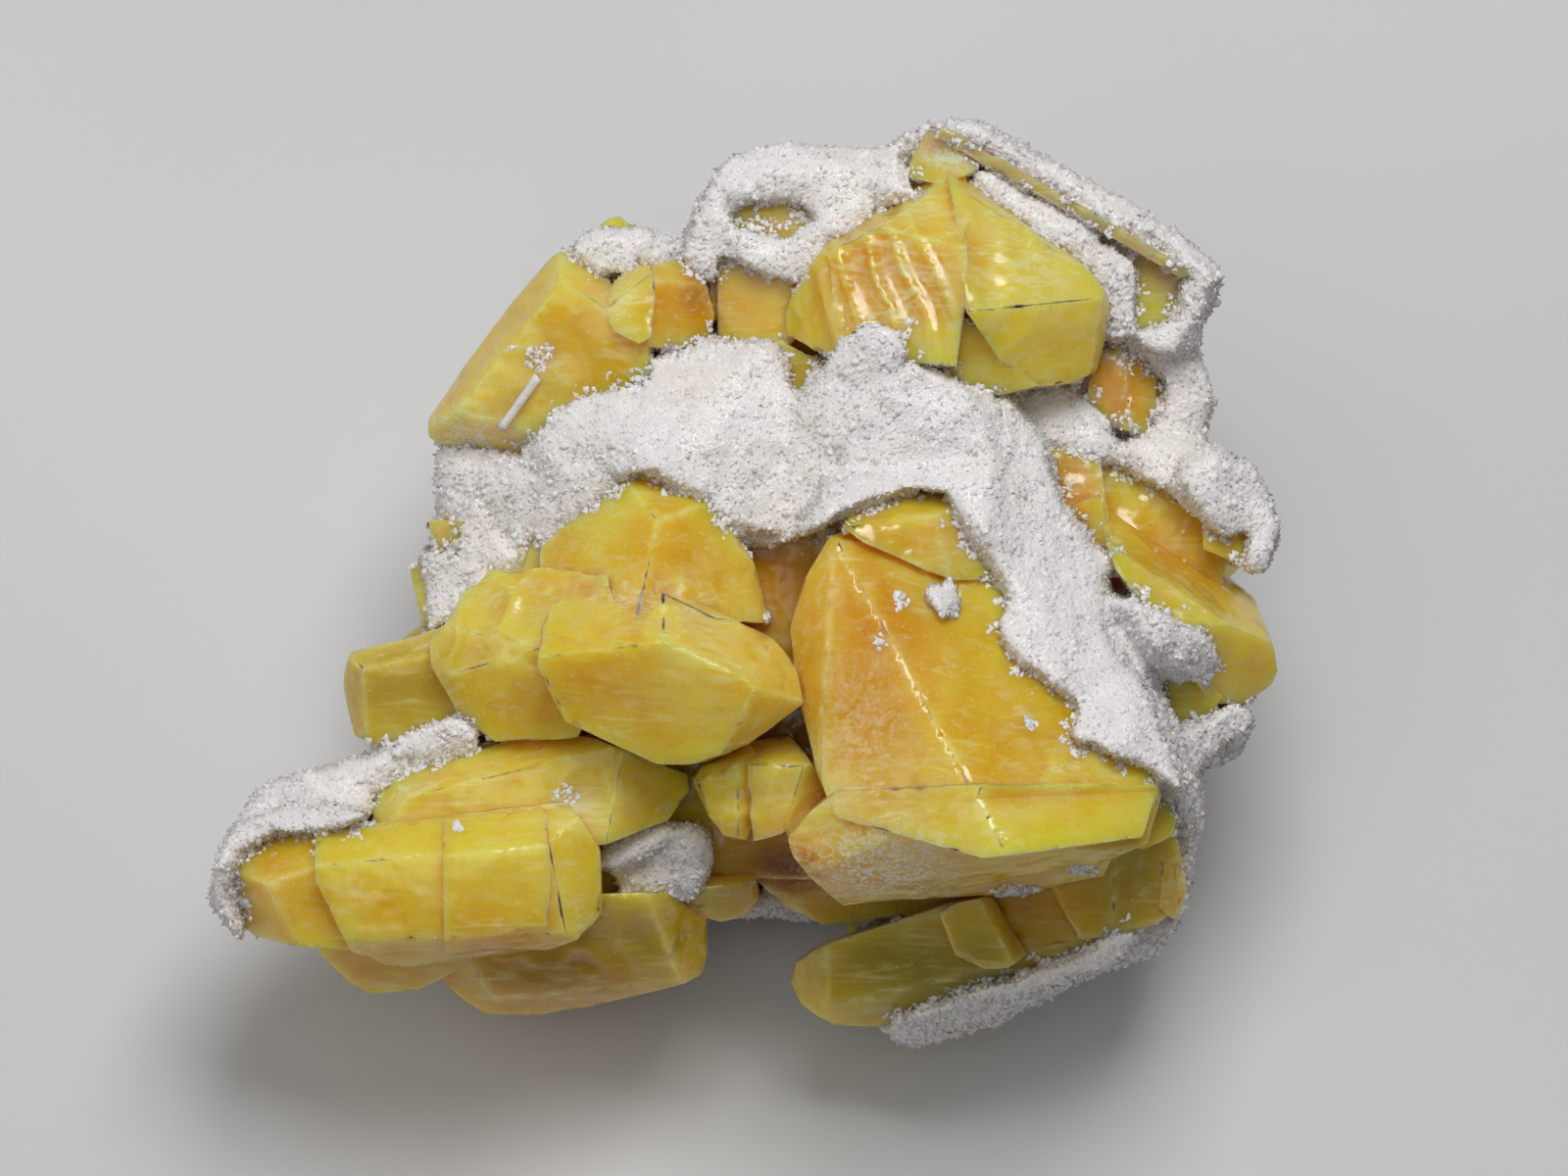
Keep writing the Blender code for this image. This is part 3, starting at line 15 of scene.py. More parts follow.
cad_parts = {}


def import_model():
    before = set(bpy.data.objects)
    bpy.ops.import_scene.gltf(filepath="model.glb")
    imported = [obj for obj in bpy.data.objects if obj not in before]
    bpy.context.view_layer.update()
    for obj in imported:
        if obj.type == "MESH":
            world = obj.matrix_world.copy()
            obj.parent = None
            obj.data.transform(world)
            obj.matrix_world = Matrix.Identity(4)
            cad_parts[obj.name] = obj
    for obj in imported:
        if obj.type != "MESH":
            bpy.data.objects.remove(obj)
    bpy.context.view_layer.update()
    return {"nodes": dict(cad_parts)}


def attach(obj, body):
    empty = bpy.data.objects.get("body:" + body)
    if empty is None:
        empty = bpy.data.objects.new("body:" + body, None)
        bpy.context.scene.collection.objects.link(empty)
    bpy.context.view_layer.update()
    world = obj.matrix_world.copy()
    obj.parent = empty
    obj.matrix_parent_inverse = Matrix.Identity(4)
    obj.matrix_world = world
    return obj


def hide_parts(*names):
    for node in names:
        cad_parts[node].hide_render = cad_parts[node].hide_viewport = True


MM = 0.001

# The display face
FACE_ELEVATION = 70.0  # degrees above the horizon
BASE_DROP = 40.0  # mm from the middle of the display face down to the floor

# Sulfur
CREST_ANGLE = math.radians(17)  # facets that meet more sharply than this have an edge between them
CREST_STEP = 0.25 * MM  # between the points that stand for the edges
FINE_EDGE = 0.55 * MM  # longest edge of the mesh beside a facet's edge
COARSE_EDGE = 2.0 * MM  # and out on the facet
EDGE_GROWTH = 1.1  # how fast it grows from one to the other
BACK_FROM = -12.0  # mm out of the display face's middle, behind which the mesh is coarser
BACK_EDGE = 2.4 * MM
SPLIT_ROUNDS = 9
HIDDEN_EDGE = 4.0 * MM  # longest edge where druse or sulfur lies against it
SULFUR_WAVE = 0.14 * MM  # height of the facets' unevenness
SULFUR_WAVE_SIZE = 5.0 * MM
CREST_WEAR = 0.08 * MM  # how far the edges are worn back
CREST_CHIP = 0.45 * MM  # depth of the chips in them
CHIP_SIZE = 1.3 * MM
CREST_REACH = 0.40 * MM  # how far from the edge the wear goes
CREVICE_REACH = 0.9 * MM
RIM_REACH = 3.0 * MM  # how far the paler rim of a crystal reaches in from its edges, a painted glow of light shining through its thin edges
THICK = 24.0 * MM  # sulfur this thick shows its full depth of colour
FLUTED = ((10.0, 31.5), (7.5, 7.0), 2.5)  # middle, reach and strength of the crown crystal's flutes
FLUTE_PITCH = 2.9  # mm
FLUTE_DEPTH = 0.55 * MM
FLUTE_ACROSS = (0.93, 0.36)  # the way from one flute to the next, in u and v
FLUTE_BEND = 0.012  # how strongly the flutes curve, per mm away from FLUTE_MIDDLE
FLUTE_MIDDLE = 31
FLUTE_WANDER = 0.8  # mm
FLUTE_WANDER_SIZE = 6.0  # mm
RUGGED_DEPTH = 0.85 * MM  # of the hollows in a broken face
RUGGED_SIZE = 4.6 * MM
RELIEF_EDGE = 0.85 * MM  # longest edge of the mesh in fluted and rugged places

# Druse
DRUSE_EDGE = 1.3 * MM
DRUSE_LUMP = 0.40 * MM
DRUSE_LUMP_SIZE = 2.4 * MM
DRUSE_SMOOTHING = 3
LOWEST_DRUSE = 1.0 * MM
CONTACT_GAP = 0.3 * MM
GRAIN_SPACING = 0.52 * MM
CELL_RANGE = 8192  # more cells than the part has along any side
GRAIN_TRIES = 5.0  # candidates for each grain's room
GRAIN_RADIUS = (0.31 * MM, 0.13, 0.65 * MM)  # middle, spread as a share, and most
GRAIN_STRETCH = (0.55, 1.35)  # a grain's length in radii
GRAIN_FACETING = 2.2  # how far a grain's own facets turn its shading from the surface's
GRAIN_TILT = 0.42  # how far grains lean from the surface's normal
FRINGE_REACH = 2.2 * MM  # how far stray grains lie out on the sulfur from the druse
FRINGE_SPACING = 0.42 * MM
FRINGE_PATCH = 1.5 * MM  # size of their clumps
GRAIN_ROOT = 0.25 * MM  # how deep a grain stands in what it grows from
BLOCKY_SHARE = 0.10  # of the grains are prisms with a tip, and the rest are points
PIECE_GRAINS = 16000
NEEDLE = ((-29.0, 16.4), (-25.2, 21.6))  # the ends of the pale needle, mm across and up the display face
NEEDLE_RADIUS = 0.5 * MM
NEEDLE_STEPS = 12

# The studio: each light's name, its place in the display face's frame, its size in metres and its watts
LIGHTS = (
    ("key", (60, 350, 500), 0.28, 2.3),
    ("front", (-150, 60, 640), 0.45, 0.5),
    ("left", (-520, 80, 200), 0.4, 0.45),
)
WORLD_COLOUR = (0.97, 0.98, 1.0, 1.0)
WORLD_STRENGTH = 0.14
CAMERA_LENS = 200.0
CAMERA_SENSOR = 36.0
CAMERA_DISTANCE = 897.0  # mm out of the display face's middle
FLOOR_REACH = 1.2
FLOOR_CELLS = 40
FLOOR_GAP = 0.05 * MM  # below the part

SULFUR_NODE = "sulfur_crystals"
DRUSE_NODES = ("druse_coat", "druse_nook", "druse_scab")

# Patches of stray grains on the sulfur, as in ZONES
SPECKS = (
    ((12.0, -1.4), (1.0, 1.1), 1.0), ((9.8, -5.5), (0.7, 1.6), 0.8),
    ((10.5, -33.5), (2.2, 0.9), 1.0), ((30.3, -28.6), (1.8, 0.7), 1.0),
    ((23.5, -30.8), (2.8, 0.9), 1.0), ((-22.0, -20.8), (2.0, 1.2), 1.0),
    ((-1.8, -3.0), (0.6, 0.7), 1.0), ((24.5, -13.5), (1.2, 0.8), 0.9),
    ((-25.0, 23.5), (1.6, 1.6), 1.0), ((-28.0, 24.8), (0.8, 0.6), 0.9),
    ((-33.0, -24.5), (0.6, 0.5), 0.9), ((-10.0, 34.5), (2.0, 0.6), 0.8),
    ((-2.5, 36.9), (3.0, 1.2), 1.3), ((1.5, 38.2), (1.5, 1.5), 0.9),
    ((28.0, 39.8), (3.0, 0.8), 0.6), ((38.5, 26.8), (1.6, 1.0), 0.7),
)

# Where the sulfur's faces are broken, as in ZONES
RUGGED = (
    ((-14, -1), (10, 3.5), 1.0), ((-31, -2), (7, 6), 1.1), ((-28, -9), (7, 5), 0.5),
    ((-20, -22), (5, 3), 0.8), ((-34, -21), (12, 2), 0.7), ((-4, -20), (7, 5), 0.6),
    ((-26, 20), (6, 5), 0.6), ((17, 1), (4, 3), 0.8), ((30, -19), (5, 3), 0.6),
    ((22, 32), (7, 9), 0.4), ((-20, -37), (12, 4), 0.6), ((14, 43), (5, 3), 0.3),
)

# Where the sulfur's looks change: the middle (u, v) and the reach (u, v) of each patch, and its strength
ZONES = {
    # amber patches; where one passes strength 1 it turns brown, and those at the bottom of the cluster are
    # painted shade under the crystals above
    "amber_and_painted_shade": (
        ((9, -5), (8, 13), 1.0), ((15, 5), (5, 3), 0.9), ((9, 31), (7, 6), 0.75),
        ((-9, 30), (4.5, 5), 1.25), ((0, 0), (4, 8), 1.1), ((2, 20), (4, 4), 1.0),
        ((35, 20), (5, 6), 1.15), ((40, 3), (6, 5), 0.8), ((-50, -32), (5, 5), 0.5),
        ((0, -29), (7, 5), 1.6), ((22, -31.5), (14, 2.5), 0.9), ((-24, -40), (20, 5), 1.2),
        ((-24, 4), (4, 4), 0.6), ((29, 10), (4, 7), 1.1), ((-35, 5), (4, 5), 0.9),
        ((26, -33), (5, 4), 1.0), ((-20.5, 0.5), (1.5, 1.5), 1.0), ((-12, 4), (5, 6), 0.5),
        ((-40, -11), (6, 5), 0.6), ((-1, 37.5), (5, 3), 1.0), ((-3.5, 30), (4, 5), 0.7),
        ((-24, 26), (8, 6), 0.3), ((-53, -30), (5, 6), 0.8),
    ),
    "lemon": (
        ((25, 30), (7, 8), 1.0), ((-32, -27), (14, 5), 0.9), ((-8, -10), (9, 6), 0.5),
        ((28, -24), (12, 3), 0.8), ((-30, 28), (8, 10), 0.4), ((44, -6), (6, 6), 0.8),
        ((-16, 30), (3, 4), 1.0), ((-5, -20), (8, 5), 0.8), ((20, -36), (4, 5), 0.9),
        ((-18, 6), (3.5, 5), 1.0), ((-28, -2), (9, 5), 0.5), ((36, 3), (3, 6), 0.6),
        ((38, 29), (2, 3), 0.8), ((12, 8), (5, 2), 0.7), ((-7, 5), (3, 2), 0.6),
    ),
    # darker olive on the lower crystals: partly their own tint and partly painted shade where they lie
    # under the others
    "olive_and_painted_shade": (
        ((-40, -10), (7, 6), 0.6), ((15, -39), (14, 6), 1.0), ((36, -31), (6, 6), 0.7),
        ((-20, -40), (14, 4), 0.5), ((-14, -37), (8, 5), 0.8), ((-6, -31), (4, 4), 0.7),
        ((38, -12), (4, 3), 0.7),
    ),
    "tan": (
        ((16, 46), (3, 2.2), 1.4), ((20, 45), (3, 2.2), 1.4), ((24, 42.2), (3, 2.2), 1.4),
        ((28, 39.6), (3, 2.2), 1.4), ((32, 37.1), (3, 2.2), 1.4), ((36, 34.6), (3, 2.2), 1.4),
        ((40, 31.9), (2.5, 2), 1.2),
    ),
    # whitish frosted veils, and painted highlights where a facet catches the light, as at the crown's apex
    # (17, 44) and the pale facet (-16.5, 29.5)
    "frost_and_painted_highlight": (
        ((-14, -1), (8, 3), 0.9), ((-30, 0), (8, 4), 0.7), ((-22, 16), (6, 6), 0.3),
        ((8, -22), (9, 6), 0.6), ((-20, -22), (5, 3), 0.9), ((-28, 19), (7, 6), 0.5),
        ((18, 43), (4, 3), 0.5), ((-34, -21), (14, 2), 0.7), ((28, -19), (4, 3), 0.7),
        ((17, 2), (3, 3), 0.7), ((14, 38), (6, 4), 0.8), ((24, 33), (7, 6), 1.1),
        ((12, 31), (6, 6), 1.0), ((-16.5, 29.5), (2.2, 3), 1.3), ((17, 44), (2.4, 1.0), 1.6),
        ((10, -28), (6, 3), 0.8), ((-33, 17), (4, 2.5), 0.9), ((-8, -6), (7, 6), 0.5),
        ((40, -4), (3, 6), 0.5),
    ),
    # sparkly broken faces: a bump of small facets, with painted glints in pale colour on them
    "glitter": (
        ((10, -28), (6.5, 3.5), 1.6), ((17, 44), (2.4, 1.0), 1.5), ((-33, 16), (4, 2), 1.2),
        ((8, -14), (5, 7), 0.35), ((-3, -18), (4, 4), 0.3), ((-20, 8), (3, 5), 0.3),
    ),
}


def face_matrix():
    """The matrix from the display face's millimetres to the frame's metres."""
    tilt = math.radians(FACE_ELEVATION)
    right = Vector((1, 0, 0))
    up = Vector((0, math.sin(tilt), math.cos(tilt)))
    out = Vector((0, -math.cos(tilt), math.sin(tilt)))
    turn = Matrix((right, up, out)).transposed().to_4x4()
    return Matrix.Translation((0, 0, BASE_DROP * MM)) @ turn @ Matrix.Scale(MM, 4)


def local_places(co, to_face):
    """Places in the display face's frame, in its millimetres."""
    return (np.c_[co, np.ones(len(co))] @ np.array(to_face).T)[:, :3]


def zone_weights(local, zones):
    """How strongly each place lies in the zones, from 0 to 1 or past it where a zone is that strong."""
    total = np.zeros(len(local))
    for middle, reach, strength in zones:
        away = ((local[:, :2] - np.array(middle)) / np.array(reach)) ** 2
        total = np.maximum(total, strength * np.exp(-away.sum(1)))
    return total


def front_weights(local, zones):
    """The same, on the front of the cluster alone."""
    return zone_weights(local, zones) * (local[:, 2] > 0)


def noise_at(co, size, octaves=1):
    """Smooth noise of the given size at each place, with finer octaves of half its height."""
    total = np.zeros(len(co))
    for octave in range(octaves):
        scale = 2.3**octave / size
        total += np.array([noise.noise(place) for place in co * scale]) * 0.5**octave
    return total


def mesh_object(name, co, tris):
    mesh = bpy.data.meshes.new(name)
    mesh.vertices.add(len(co))
    mesh.vertices.foreach_set("co", co.astype(np.float32).ravel())
    mesh.loops.add(tris.size)
    mesh.loops.foreach_set("vertex_index", tris.astype(np.int32).ravel())
    mesh.polygons.add(len(tris))
    mesh.polygons.foreach_set("loop_start", np.arange(0, tris.size, 3, dtype=np.int32))
    mesh.update(calc_edges=True)
    obj = bpy.data.objects.new(name, mesh)
    bpy.context.scene.collection.objects.link(obj)
    return obj


def add_layer(mesh, name, values):
    layer = mesh.attributes.new(name, "FLOAT", "POINT")
    layer.data.foreach_set("value", np.asarray(values, np.float32))


def welded(nodes):
    """The nodes' mesh with its corners joined, in triangles."""
    bm = bmesh.new()
    for node in nodes:
        bm.from_mesh(node.data)
    bmesh.ops.remove_doubles(bm, verts=bm.verts, dist=0.002 * MM)
    bmesh.ops.triangulate(bm, faces=bm.faces)
    return bm


def arrays_of(bm):
    bm.verts.index_update()
    co = np.array([v.co for v in bm.verts])
    tris = np.array([[v.index for v in face.verts] for face in bm.faces])
    return co, tris


def tree_of(co, tris):
    return BVHTree.FromPolygons([tuple(place) for place in co], tris.tolist())


def edge_tree(edges):
    """A search tree of points along the edges."""
    points = []
    for edge in edges:
        a, b = (v.co.copy() for v in edge.verts)
        steps = max(1, math.ceil((b - a).length / CREST_STEP))
        points += [a.lerp(b, i / steps) for i in range(steps + 1)]
    tree = KDTree(len(points))
    for i, point in enumerate(points):
        tree.insert(point, i)
    tree.balance()
    return tree


def distances(co, tree):
    """From each place to the nearest point of an edge tree."""
    return np.array([tree.find(place)[2] for place in co])


def touching(co, tree, reach):
    """Which places have the tree's surface within reach."""
    return np.array([tree.find_nearest(Vector(place), reach)[0] is not None for place in co], bool)


def split_triangles(tris, middles):
    """Cuts triangles at the new points on their edges. A middle of -1 is an edge that stays whole."""
    cuts = (middles >= 0).sum(1)
    first = np.argmax(middles >= 0, axis=1)
    whole = np.argmax(middles < 0, axis=1)
    turn = np.where(cuts == 1, first, np.where(cuts == 2, whole + 1, 0))
    order = (np.arange(3) + turn[:, None]) % 3
    a, b, c = np.take_along_axis(tris, order, 1).T
    ab, bc, ca = np.take_along_axis(middles, order, 1).T
    patterns = (
        ((a, b, c),),
        ((a, ab, c), (ab, b, c)),
        ((a, ab, c), (ab, b, bc), (ab, bc, c)),
        ((a, ab, ca), (ab, b, bc), (ca, bc, c), (ab, bc, ca)),
    )
    pieces = []
    for count, pattern in enumerate(patterns):
        chosen = cuts == count
        pieces += [np.stack(corners, axis=1)[chosen] for corners in pattern]
    return np.concatenate(pieces)


def refined(co, tris, shortest, longest_at):
    """Halves edges until each is as short as longest_at says for its middle, never under shortest."""
    for _ in range(SPLIT_ROUNDS):
        pairs = np.sort(tris[:, [[0, 1], [1, 2], [2, 0]]], axis=2).reshape(-1, 2)
        keys, index = np.unique(pairs[:, 0] * len(co) + pairs[:, 1], return_inverse=True)
        low, high = keys // len(co), keys % len(co)
        lengths = np.linalg.norm(co[low] - co[high], axis=1)
        middles = (co[low] + co[high]) / 2
        chosen = np.flatnonzero(lengths > shortest)
        chosen = chosen[lengths[chosen] > longest_at(middles[chosen])]
        if not len(chosen):
            break
        new = np.full(len(keys), -1)
        new[chosen] = len(co) + np.arange(len(chosen))
        co = np.concatenate([co, middles[chosen]])
        tris = split_triangles(tris, new[index].reshape(-1, 3))
    return co, tris


def vertex_normals(co, tris):
    corners = co[tris]
    cross = np.cross(corners[:, 1] - corners[:, 0], corners[:, 2] - corners[:, 0])
    total = np.zeros_like(co)
    for corner in range(3):
        np.add.at(total, tris[:, corner], cross)
    return total / np.maximum(np.linalg.norm(total, axis=1), 1e-15)[:, None]


def smoothed(co, tris, rounds):
    """Moves each point halfway to the middle of its neighbours, so many times."""
    edges = np.unique(np.sort(tris[:, [[0, 1], [1, 2], [2, 0]]], axis=2).reshape(-1, 2), axis=0)
    count = np.bincount(edges.ravel(), minlength=len(co))[:, None]
    for _ in range(rounds):
        total = np.zeros_like(co)
        np.add.at(total, edges[:, 0], co[edges[:, 1]])
        np.add.at(total, edges[:, 1], co[edges[:, 0]])
        co = (co + total / count) / 2
    return co


def thickness(tree, co, normals):
    """How much sulfur lies behind each place, as a share of THICK."""
    shares = []
    for place, normal in zip(co, normals):
        place, normal = Vector(place), Vector(normal)
        side = normal.orthogonal().normalized()
        other = normal.cross(side)
        total = 0.0
        for way in (-normal, side - normal, other - normal, -side - normal, -other - normal):
            way = way.normalized()
            hit = tree.ray_cast(place + way * 0.05 * MM, way, THICK)
            total += THICK if hit[3] is None else hit[3]
        shares.append(total / 5 / THICK)
    return np.array(shares)


def flutes(local):
    """The height of the crown crystal's flutes, from -0.6 in the grooves to 0.4 on the ridges, by place."""
    share = front_weights(local, [FLUTED])
    across = FLUTE_ACROSS[0] * local[:, 0] + FLUTE_ACROSS[1] * local[:, 1]
    across += FLUTE_BEND * (local[:, 1] - FLUTE_MIDDLE) ** 2
    across += FLUTE_WANDER * noise_at(local, FLUTE_WANDER_SIZE)
    return share * (0.4 - np.abs(np.sin(math.pi * across / FLUTE_PITCH)) ** 0.7)


def make_sulfur(node, coats, to_face):
    bm = welded([node])
    sharp = [e for e in bm.edges if len(e.link_faces) == 2 and e.calc_face_angle(0.0) > CREST_ANGLE]
    crests = edge_tree([e for e in sharp if e.calc_face_angle_signed(0.0) > 0])
    crevices = edge_tree([e for e in sharp if e.calc_face_angle_signed(0.0) <= 0])
    co, tris = arrays_of(bm)
    bm.free()
    solid = tree_of(co, tris)
    cover = tree_of(*arrays_of(welded(coats)))

    def longest_at(places):
        local = local_places(places, to_face)
        relief = front_weights(local, [FLUTED]) + front_weights(local, RUGGED) > 0.15
        coarse = np.where(relief, RELIEF_EDGE, COARSE_EDGE)
        coarse = np.where(local[:, 2] < BACK_FROM, BACK_EDGE, coarse)
        fine = np.minimum(coarse, FINE_EDGE + EDGE_GROWTH * distances(places, crests))
        return np.where(touching(places, cover, 2 * CONTACT_GAP), HIDDEN_EDGE, fine)

    co, tris = refined(co, tris, FINE_EDGE, longest_at)
    normals = vertex_normals(co, tris)
    local = local_places(co, to_face)
    from_crest = distances(co, crests)
    crest = np.exp(-((from_crest / CREST_REACH) ** 2))
    layers = {
        "crest": crest,
        "painted_rim_glow": np.exp(-from_crest / RIM_REACH),
        "painted_crevice_shade": np.exp(-((distances(co, crevices) / CREVICE_REACH) ** 2)),
        "thick": thickness(solid, co, normals),
    }
    layers.update({name: zone_weights(local, zones) for name, zones in ZONES.items()})
    height = SULFUR_WAVE * noise_at(co, SULFUR_WAVE_SIZE, 2)
    height += (1 - crest) * FLUTE_DEPTH * flutes(local)
    hollows = 0.4 - 2.4 * np.abs(noise_at(co, RUGGED_SIZE))
    height += front_weights(local, RUGGED) * RUGGED_DEPTH * hollows
    chips = np.maximum(0.0, noise_at(co, CHIP_SIZE) + 0.4 * noise_at(co, 4 * CHIP_SIZE) - 0.15)
    height -= crest * (CREST_WEAR + CREST_CHIP * chips)
    height[co[:, 2] < 0.2 * MM] = 0.0
    co = co + normals * height[:, None]
    obj = mesh_object("sulfur_looks", co, tris)
    crease(obj.data)
    for name, values in layers.items():
        add_layer(obj.data, name, values)
    layer = obj.data.attributes.new("face_mm", "FLOAT_VECTOR", "POINT")
    layer.data.foreach_set("vector", local.astype(np.float32).ravel())
    return obj, co, tris


def crease(mesh):
    """Shades a mesh smooth, but for the sharp inner corners."""
    bm = bmesh.new()
    bm.from_mesh(mesh)
    for face in bm.faces:
        face.smooth = True
    for edge in bm.edges:
        edge.smooth = edge.calc_face_angle_signed(0.0) > -CREST_ANGLE
    bm.to_mesh(mesh)
    bm.free()


def make_druse_skin(node, sulfur_tree):
    """A lumpy skin for one druse node, pressed on to the sulfur, and which of its points are buried."""
    co, tris = arrays_of(welded([node]))

    def longest_at(places):
        return np.where(touching(places, sulfur_tree, 2 * CONTACT_GAP), HIDDEN_EDGE, DRUSE_EDGE)

    co, tris = refined(co, tris, DRUSE_EDGE, longest_at)
    co = smoothed(co, tris, DRUSE_SMOOTHING)
    normals = vertex_normals(co, tris)
    shifts = normals * DRUSE_LUMP * noise_at(co, DRUSE_LUMP_SIZE, 2)[:, None]
    buried = np.zeros(len(co), bool)
    for i, (place, normal) in enumerate(zip(co, normals)):
        near = sulfur_tree.find_nearest(Vector(place), 3 * CONTACT_GAP)[0]
        if near is not None and (np.array(near) - place) @ normal > 0:
            buried[i] = True
            shifts[i] = (np.array(near) - place) * 1.1
    co = co + shifts
    co[:, 2] = np.maximum(co[:, 2], LOWEST_DRUSE)
    obj = mesh_object(node.name + "_skin", co, tris)
    obj.data.polygons.foreach_set("use_smooth", np.ones(len(tris), bool))
    return obj, co, tris, buried


def sample_points(co, tris, rng, spacing):
    """Evenly spread points on a mesh, and the normals there."""
    corners = co[tris]
    cross = np.cross(corners[:, 1] - corners[:, 0], corners[:, 2] - corners[:, 0])
    doubled = np.linalg.norm(cross, axis=1)
    count = int(doubled.sum() / 2 / spacing**2 * GRAIN_TRIES)
    pick = rng.choice(len(doubled), size=count, p=doubled / doubled.sum())
    a, b = rng.random((2, count, 1))
    flip = a + b > 1
    a, b = np.where(flip, 1 - a, a), np.where(flip, 1 - b, b)
    c = corners[pick]
    points = c[:, 0] + a * (c[:, 1] - c[:, 0]) + b * (c[:, 2] - c[:, 0])
    normals = cross[pick] / np.maximum(doubled[pick], 1e-15)[:, None]
    cells = np.floor(points / spacing).astype(np.int64) + CELL_RANGE // 2
    keys = (cells[:, 0] * CELL_RANGE + cells[:, 1]) * CELL_RANGE + cells[:, 2]
    first = np.sort(np.unique(keys, return_index=True)[1])
    return points[first], normals[first]


def stray_points(co, tris, skin_tree, rng, to_face):
    """Points on the sulfur for stray grains: ragged clumps round the druse's edge, and SPECKS."""
    points, normals = sample_points(co, tris, rng, FRINGE_SPACING)
    local = local_places(points, to_face)
    seen = local[:, 2] > BACK_FROM
    points, normals, local = points[seen], normals[seen], local[seen]
    near = np.zeros(len(points))
    for i, point in enumerate(points):
        distance = skin_tree.find_nearest(Vector(point), FRINGE_REACH)[3]
        near[i] = 0.0 if distance is None else 1 - distance / FRINGE_REACH
    specks = front_weights(local, SPECKS)
    chosen = np.flatnonzero((near > 0.02) & (near < 0.98) | (specks > 0.1))
    points, normals = points[chosen], normals[chosen]
    clump = noise_at(points, FRINGE_PATCH, 2)
    keep = (near[chosen] + clump > 0.75) | (specks[chosen] + 0.5 * clump > 0.55)
    return points[keep], normals[keep]


def make_grains(name, points, normals, rng):
    """One piece of small crystals that stand on the points: bare points and blocky prisms."""
    count = len(points)
    axis = normals + rng.normal(0.0, 1.0, (count, 3)) * GRAIN_TILT
    axis /= np.linalg.norm(axis, axis=1)[:, None]
    side = np.cross(axis, rng.normal(0.0, 1.0, (count, 3)))
    side /= np.linalg.norm(side, axis=1)[:, None]
    other = np.cross(axis, side) * rng.uniform(0.6, 1.0, count)[:, None]
    middle, spread, most = GRAIN_RADIUS
    radius = np.minimum(middle * np.exp(rng.normal(0.0, 2.2 * spread, count)), most)[:, None]
    length = radius * rng.uniform(*GRAIN_STRETCH, count)[:, None]
    foot = points - axis * GRAIN_ROOT
    tip = points + axis * length + side * radius * rng.uniform(-0.5, 0.5, count)[:, None]
    blocky = rng.random(count) < BLOCKY_SHARE
    ring = [side * x + other * y for x, y in ((1, 0), (0, 1), (-1, 0), (0, -1))]
    low = [foot + way * radius for way in ring]
    high = [points + axis * length * 0.45 + way * radius for way in ring]
    points_co = np.stack([*low, tip], axis=1)[~blocky]
    blocks_co = np.stack([*[foot + way * radius * 0.85 for way in ring], *high, tip], axis=1)[blocky]
    point_faces = [(i, (i + 1) % 4, 4) for i in range(4)]
    block_faces = []
    for i in range(4):
        j = (i + 1) % 4
        block_faces += [(i, j, 4 + j), (i, 4 + j, 4 + i), (4 + i, 4 + j, 8)]
    first_block = points_co.shape[0] * 5
    tris = np.concatenate([
        (np.arange(len(points_co))[:, None, None] * 5 + np.array(point_faces)).reshape(-1, 3),
        (np.arange(len(blocks_co))[:, None, None] * 9 + np.array(block_faces)).reshape(-1, 3) + first_block,
    ])
    co = np.concatenate([points_co.reshape(-1, 3), blocks_co.reshape(-1, 3)])
    obj = mesh_object(name, co, tris)
    soft = vertex_normals(co, tris) * GRAIN_FACETING
    soft += np.concatenate([np.repeat(normals[~blocky], 5, axis=0), np.repeat(normals[blocky], 9, axis=0)])
    obj.data.polygons.foreach_set("use_smooth", np.ones(len(tris), bool))
    obj.data.normals_split_custom_set_from_vertices(soft / np.linalg.norm(soft, axis=1)[:, None])
    tones = rng.random(len(points_co)), rng.random(len(blocks_co))
    add_layer(obj.data, "tone", np.concatenate([np.repeat(tones[0], 5), np.repeat(tones[1], 9)]))
    return obj


def make_needle(sulfur_tree, from_face):
    """A pale six-sided needle that lies on the sulfur, with its ends broken off."""
    ends = []
    for u, v in NEEDLE:
        start = from_face @ Vector((u, v, 60))
        inward = (from_face.to_3x3() @ Vector((0, 0, -1))).normalized()
        ends.append(sulfur_tree.ray_cast(start, inward)[0] - inward * NEEDLE_RADIUS * 0.6)
    axis = (ends[1] - ends[0]).normalized()
    side = axis.orthogonal().normalized()
    other = axis.cross(side)
    rings = []
    for step in range(NEEDLE_STEPS + 1):
        middle = ends[0].lerp(ends[1], step / NEEDLE_STEPS)
        for corner in range(6):
            turn = corner * math.pi / 3
            away = side * math.cos(turn) + other * math.sin(turn)
            worn = 1 + 0.22 * noise.noise((middle + away * MM) / (0.9 * MM))
            along = axis * 0.35 * NEEDLE_RADIUS * math.sin(2.3 * corner) * (step in (0, NEEDLE_STEPS))
            rings.append(middle + away * NEEDLE_RADIUS * worn + along)
    tris = []
    for step in range(NEEDLE_STEPS):
        for corner in range(6):
            a, b = 6 * step + corner, 6 * step + (corner + 1) % 6
            tris += [(a, b, b + 6), (a, b + 6, a + 6)]
    last = 6 * NEEDLE_STEPS
    for corner in range(1, 5):
        tris += [(0, corner + 1, corner), (last, last + corner, last + corner + 1)]
    return mesh_object("needle", np.array([tuple(place) for place in rings]), np.array(tris))


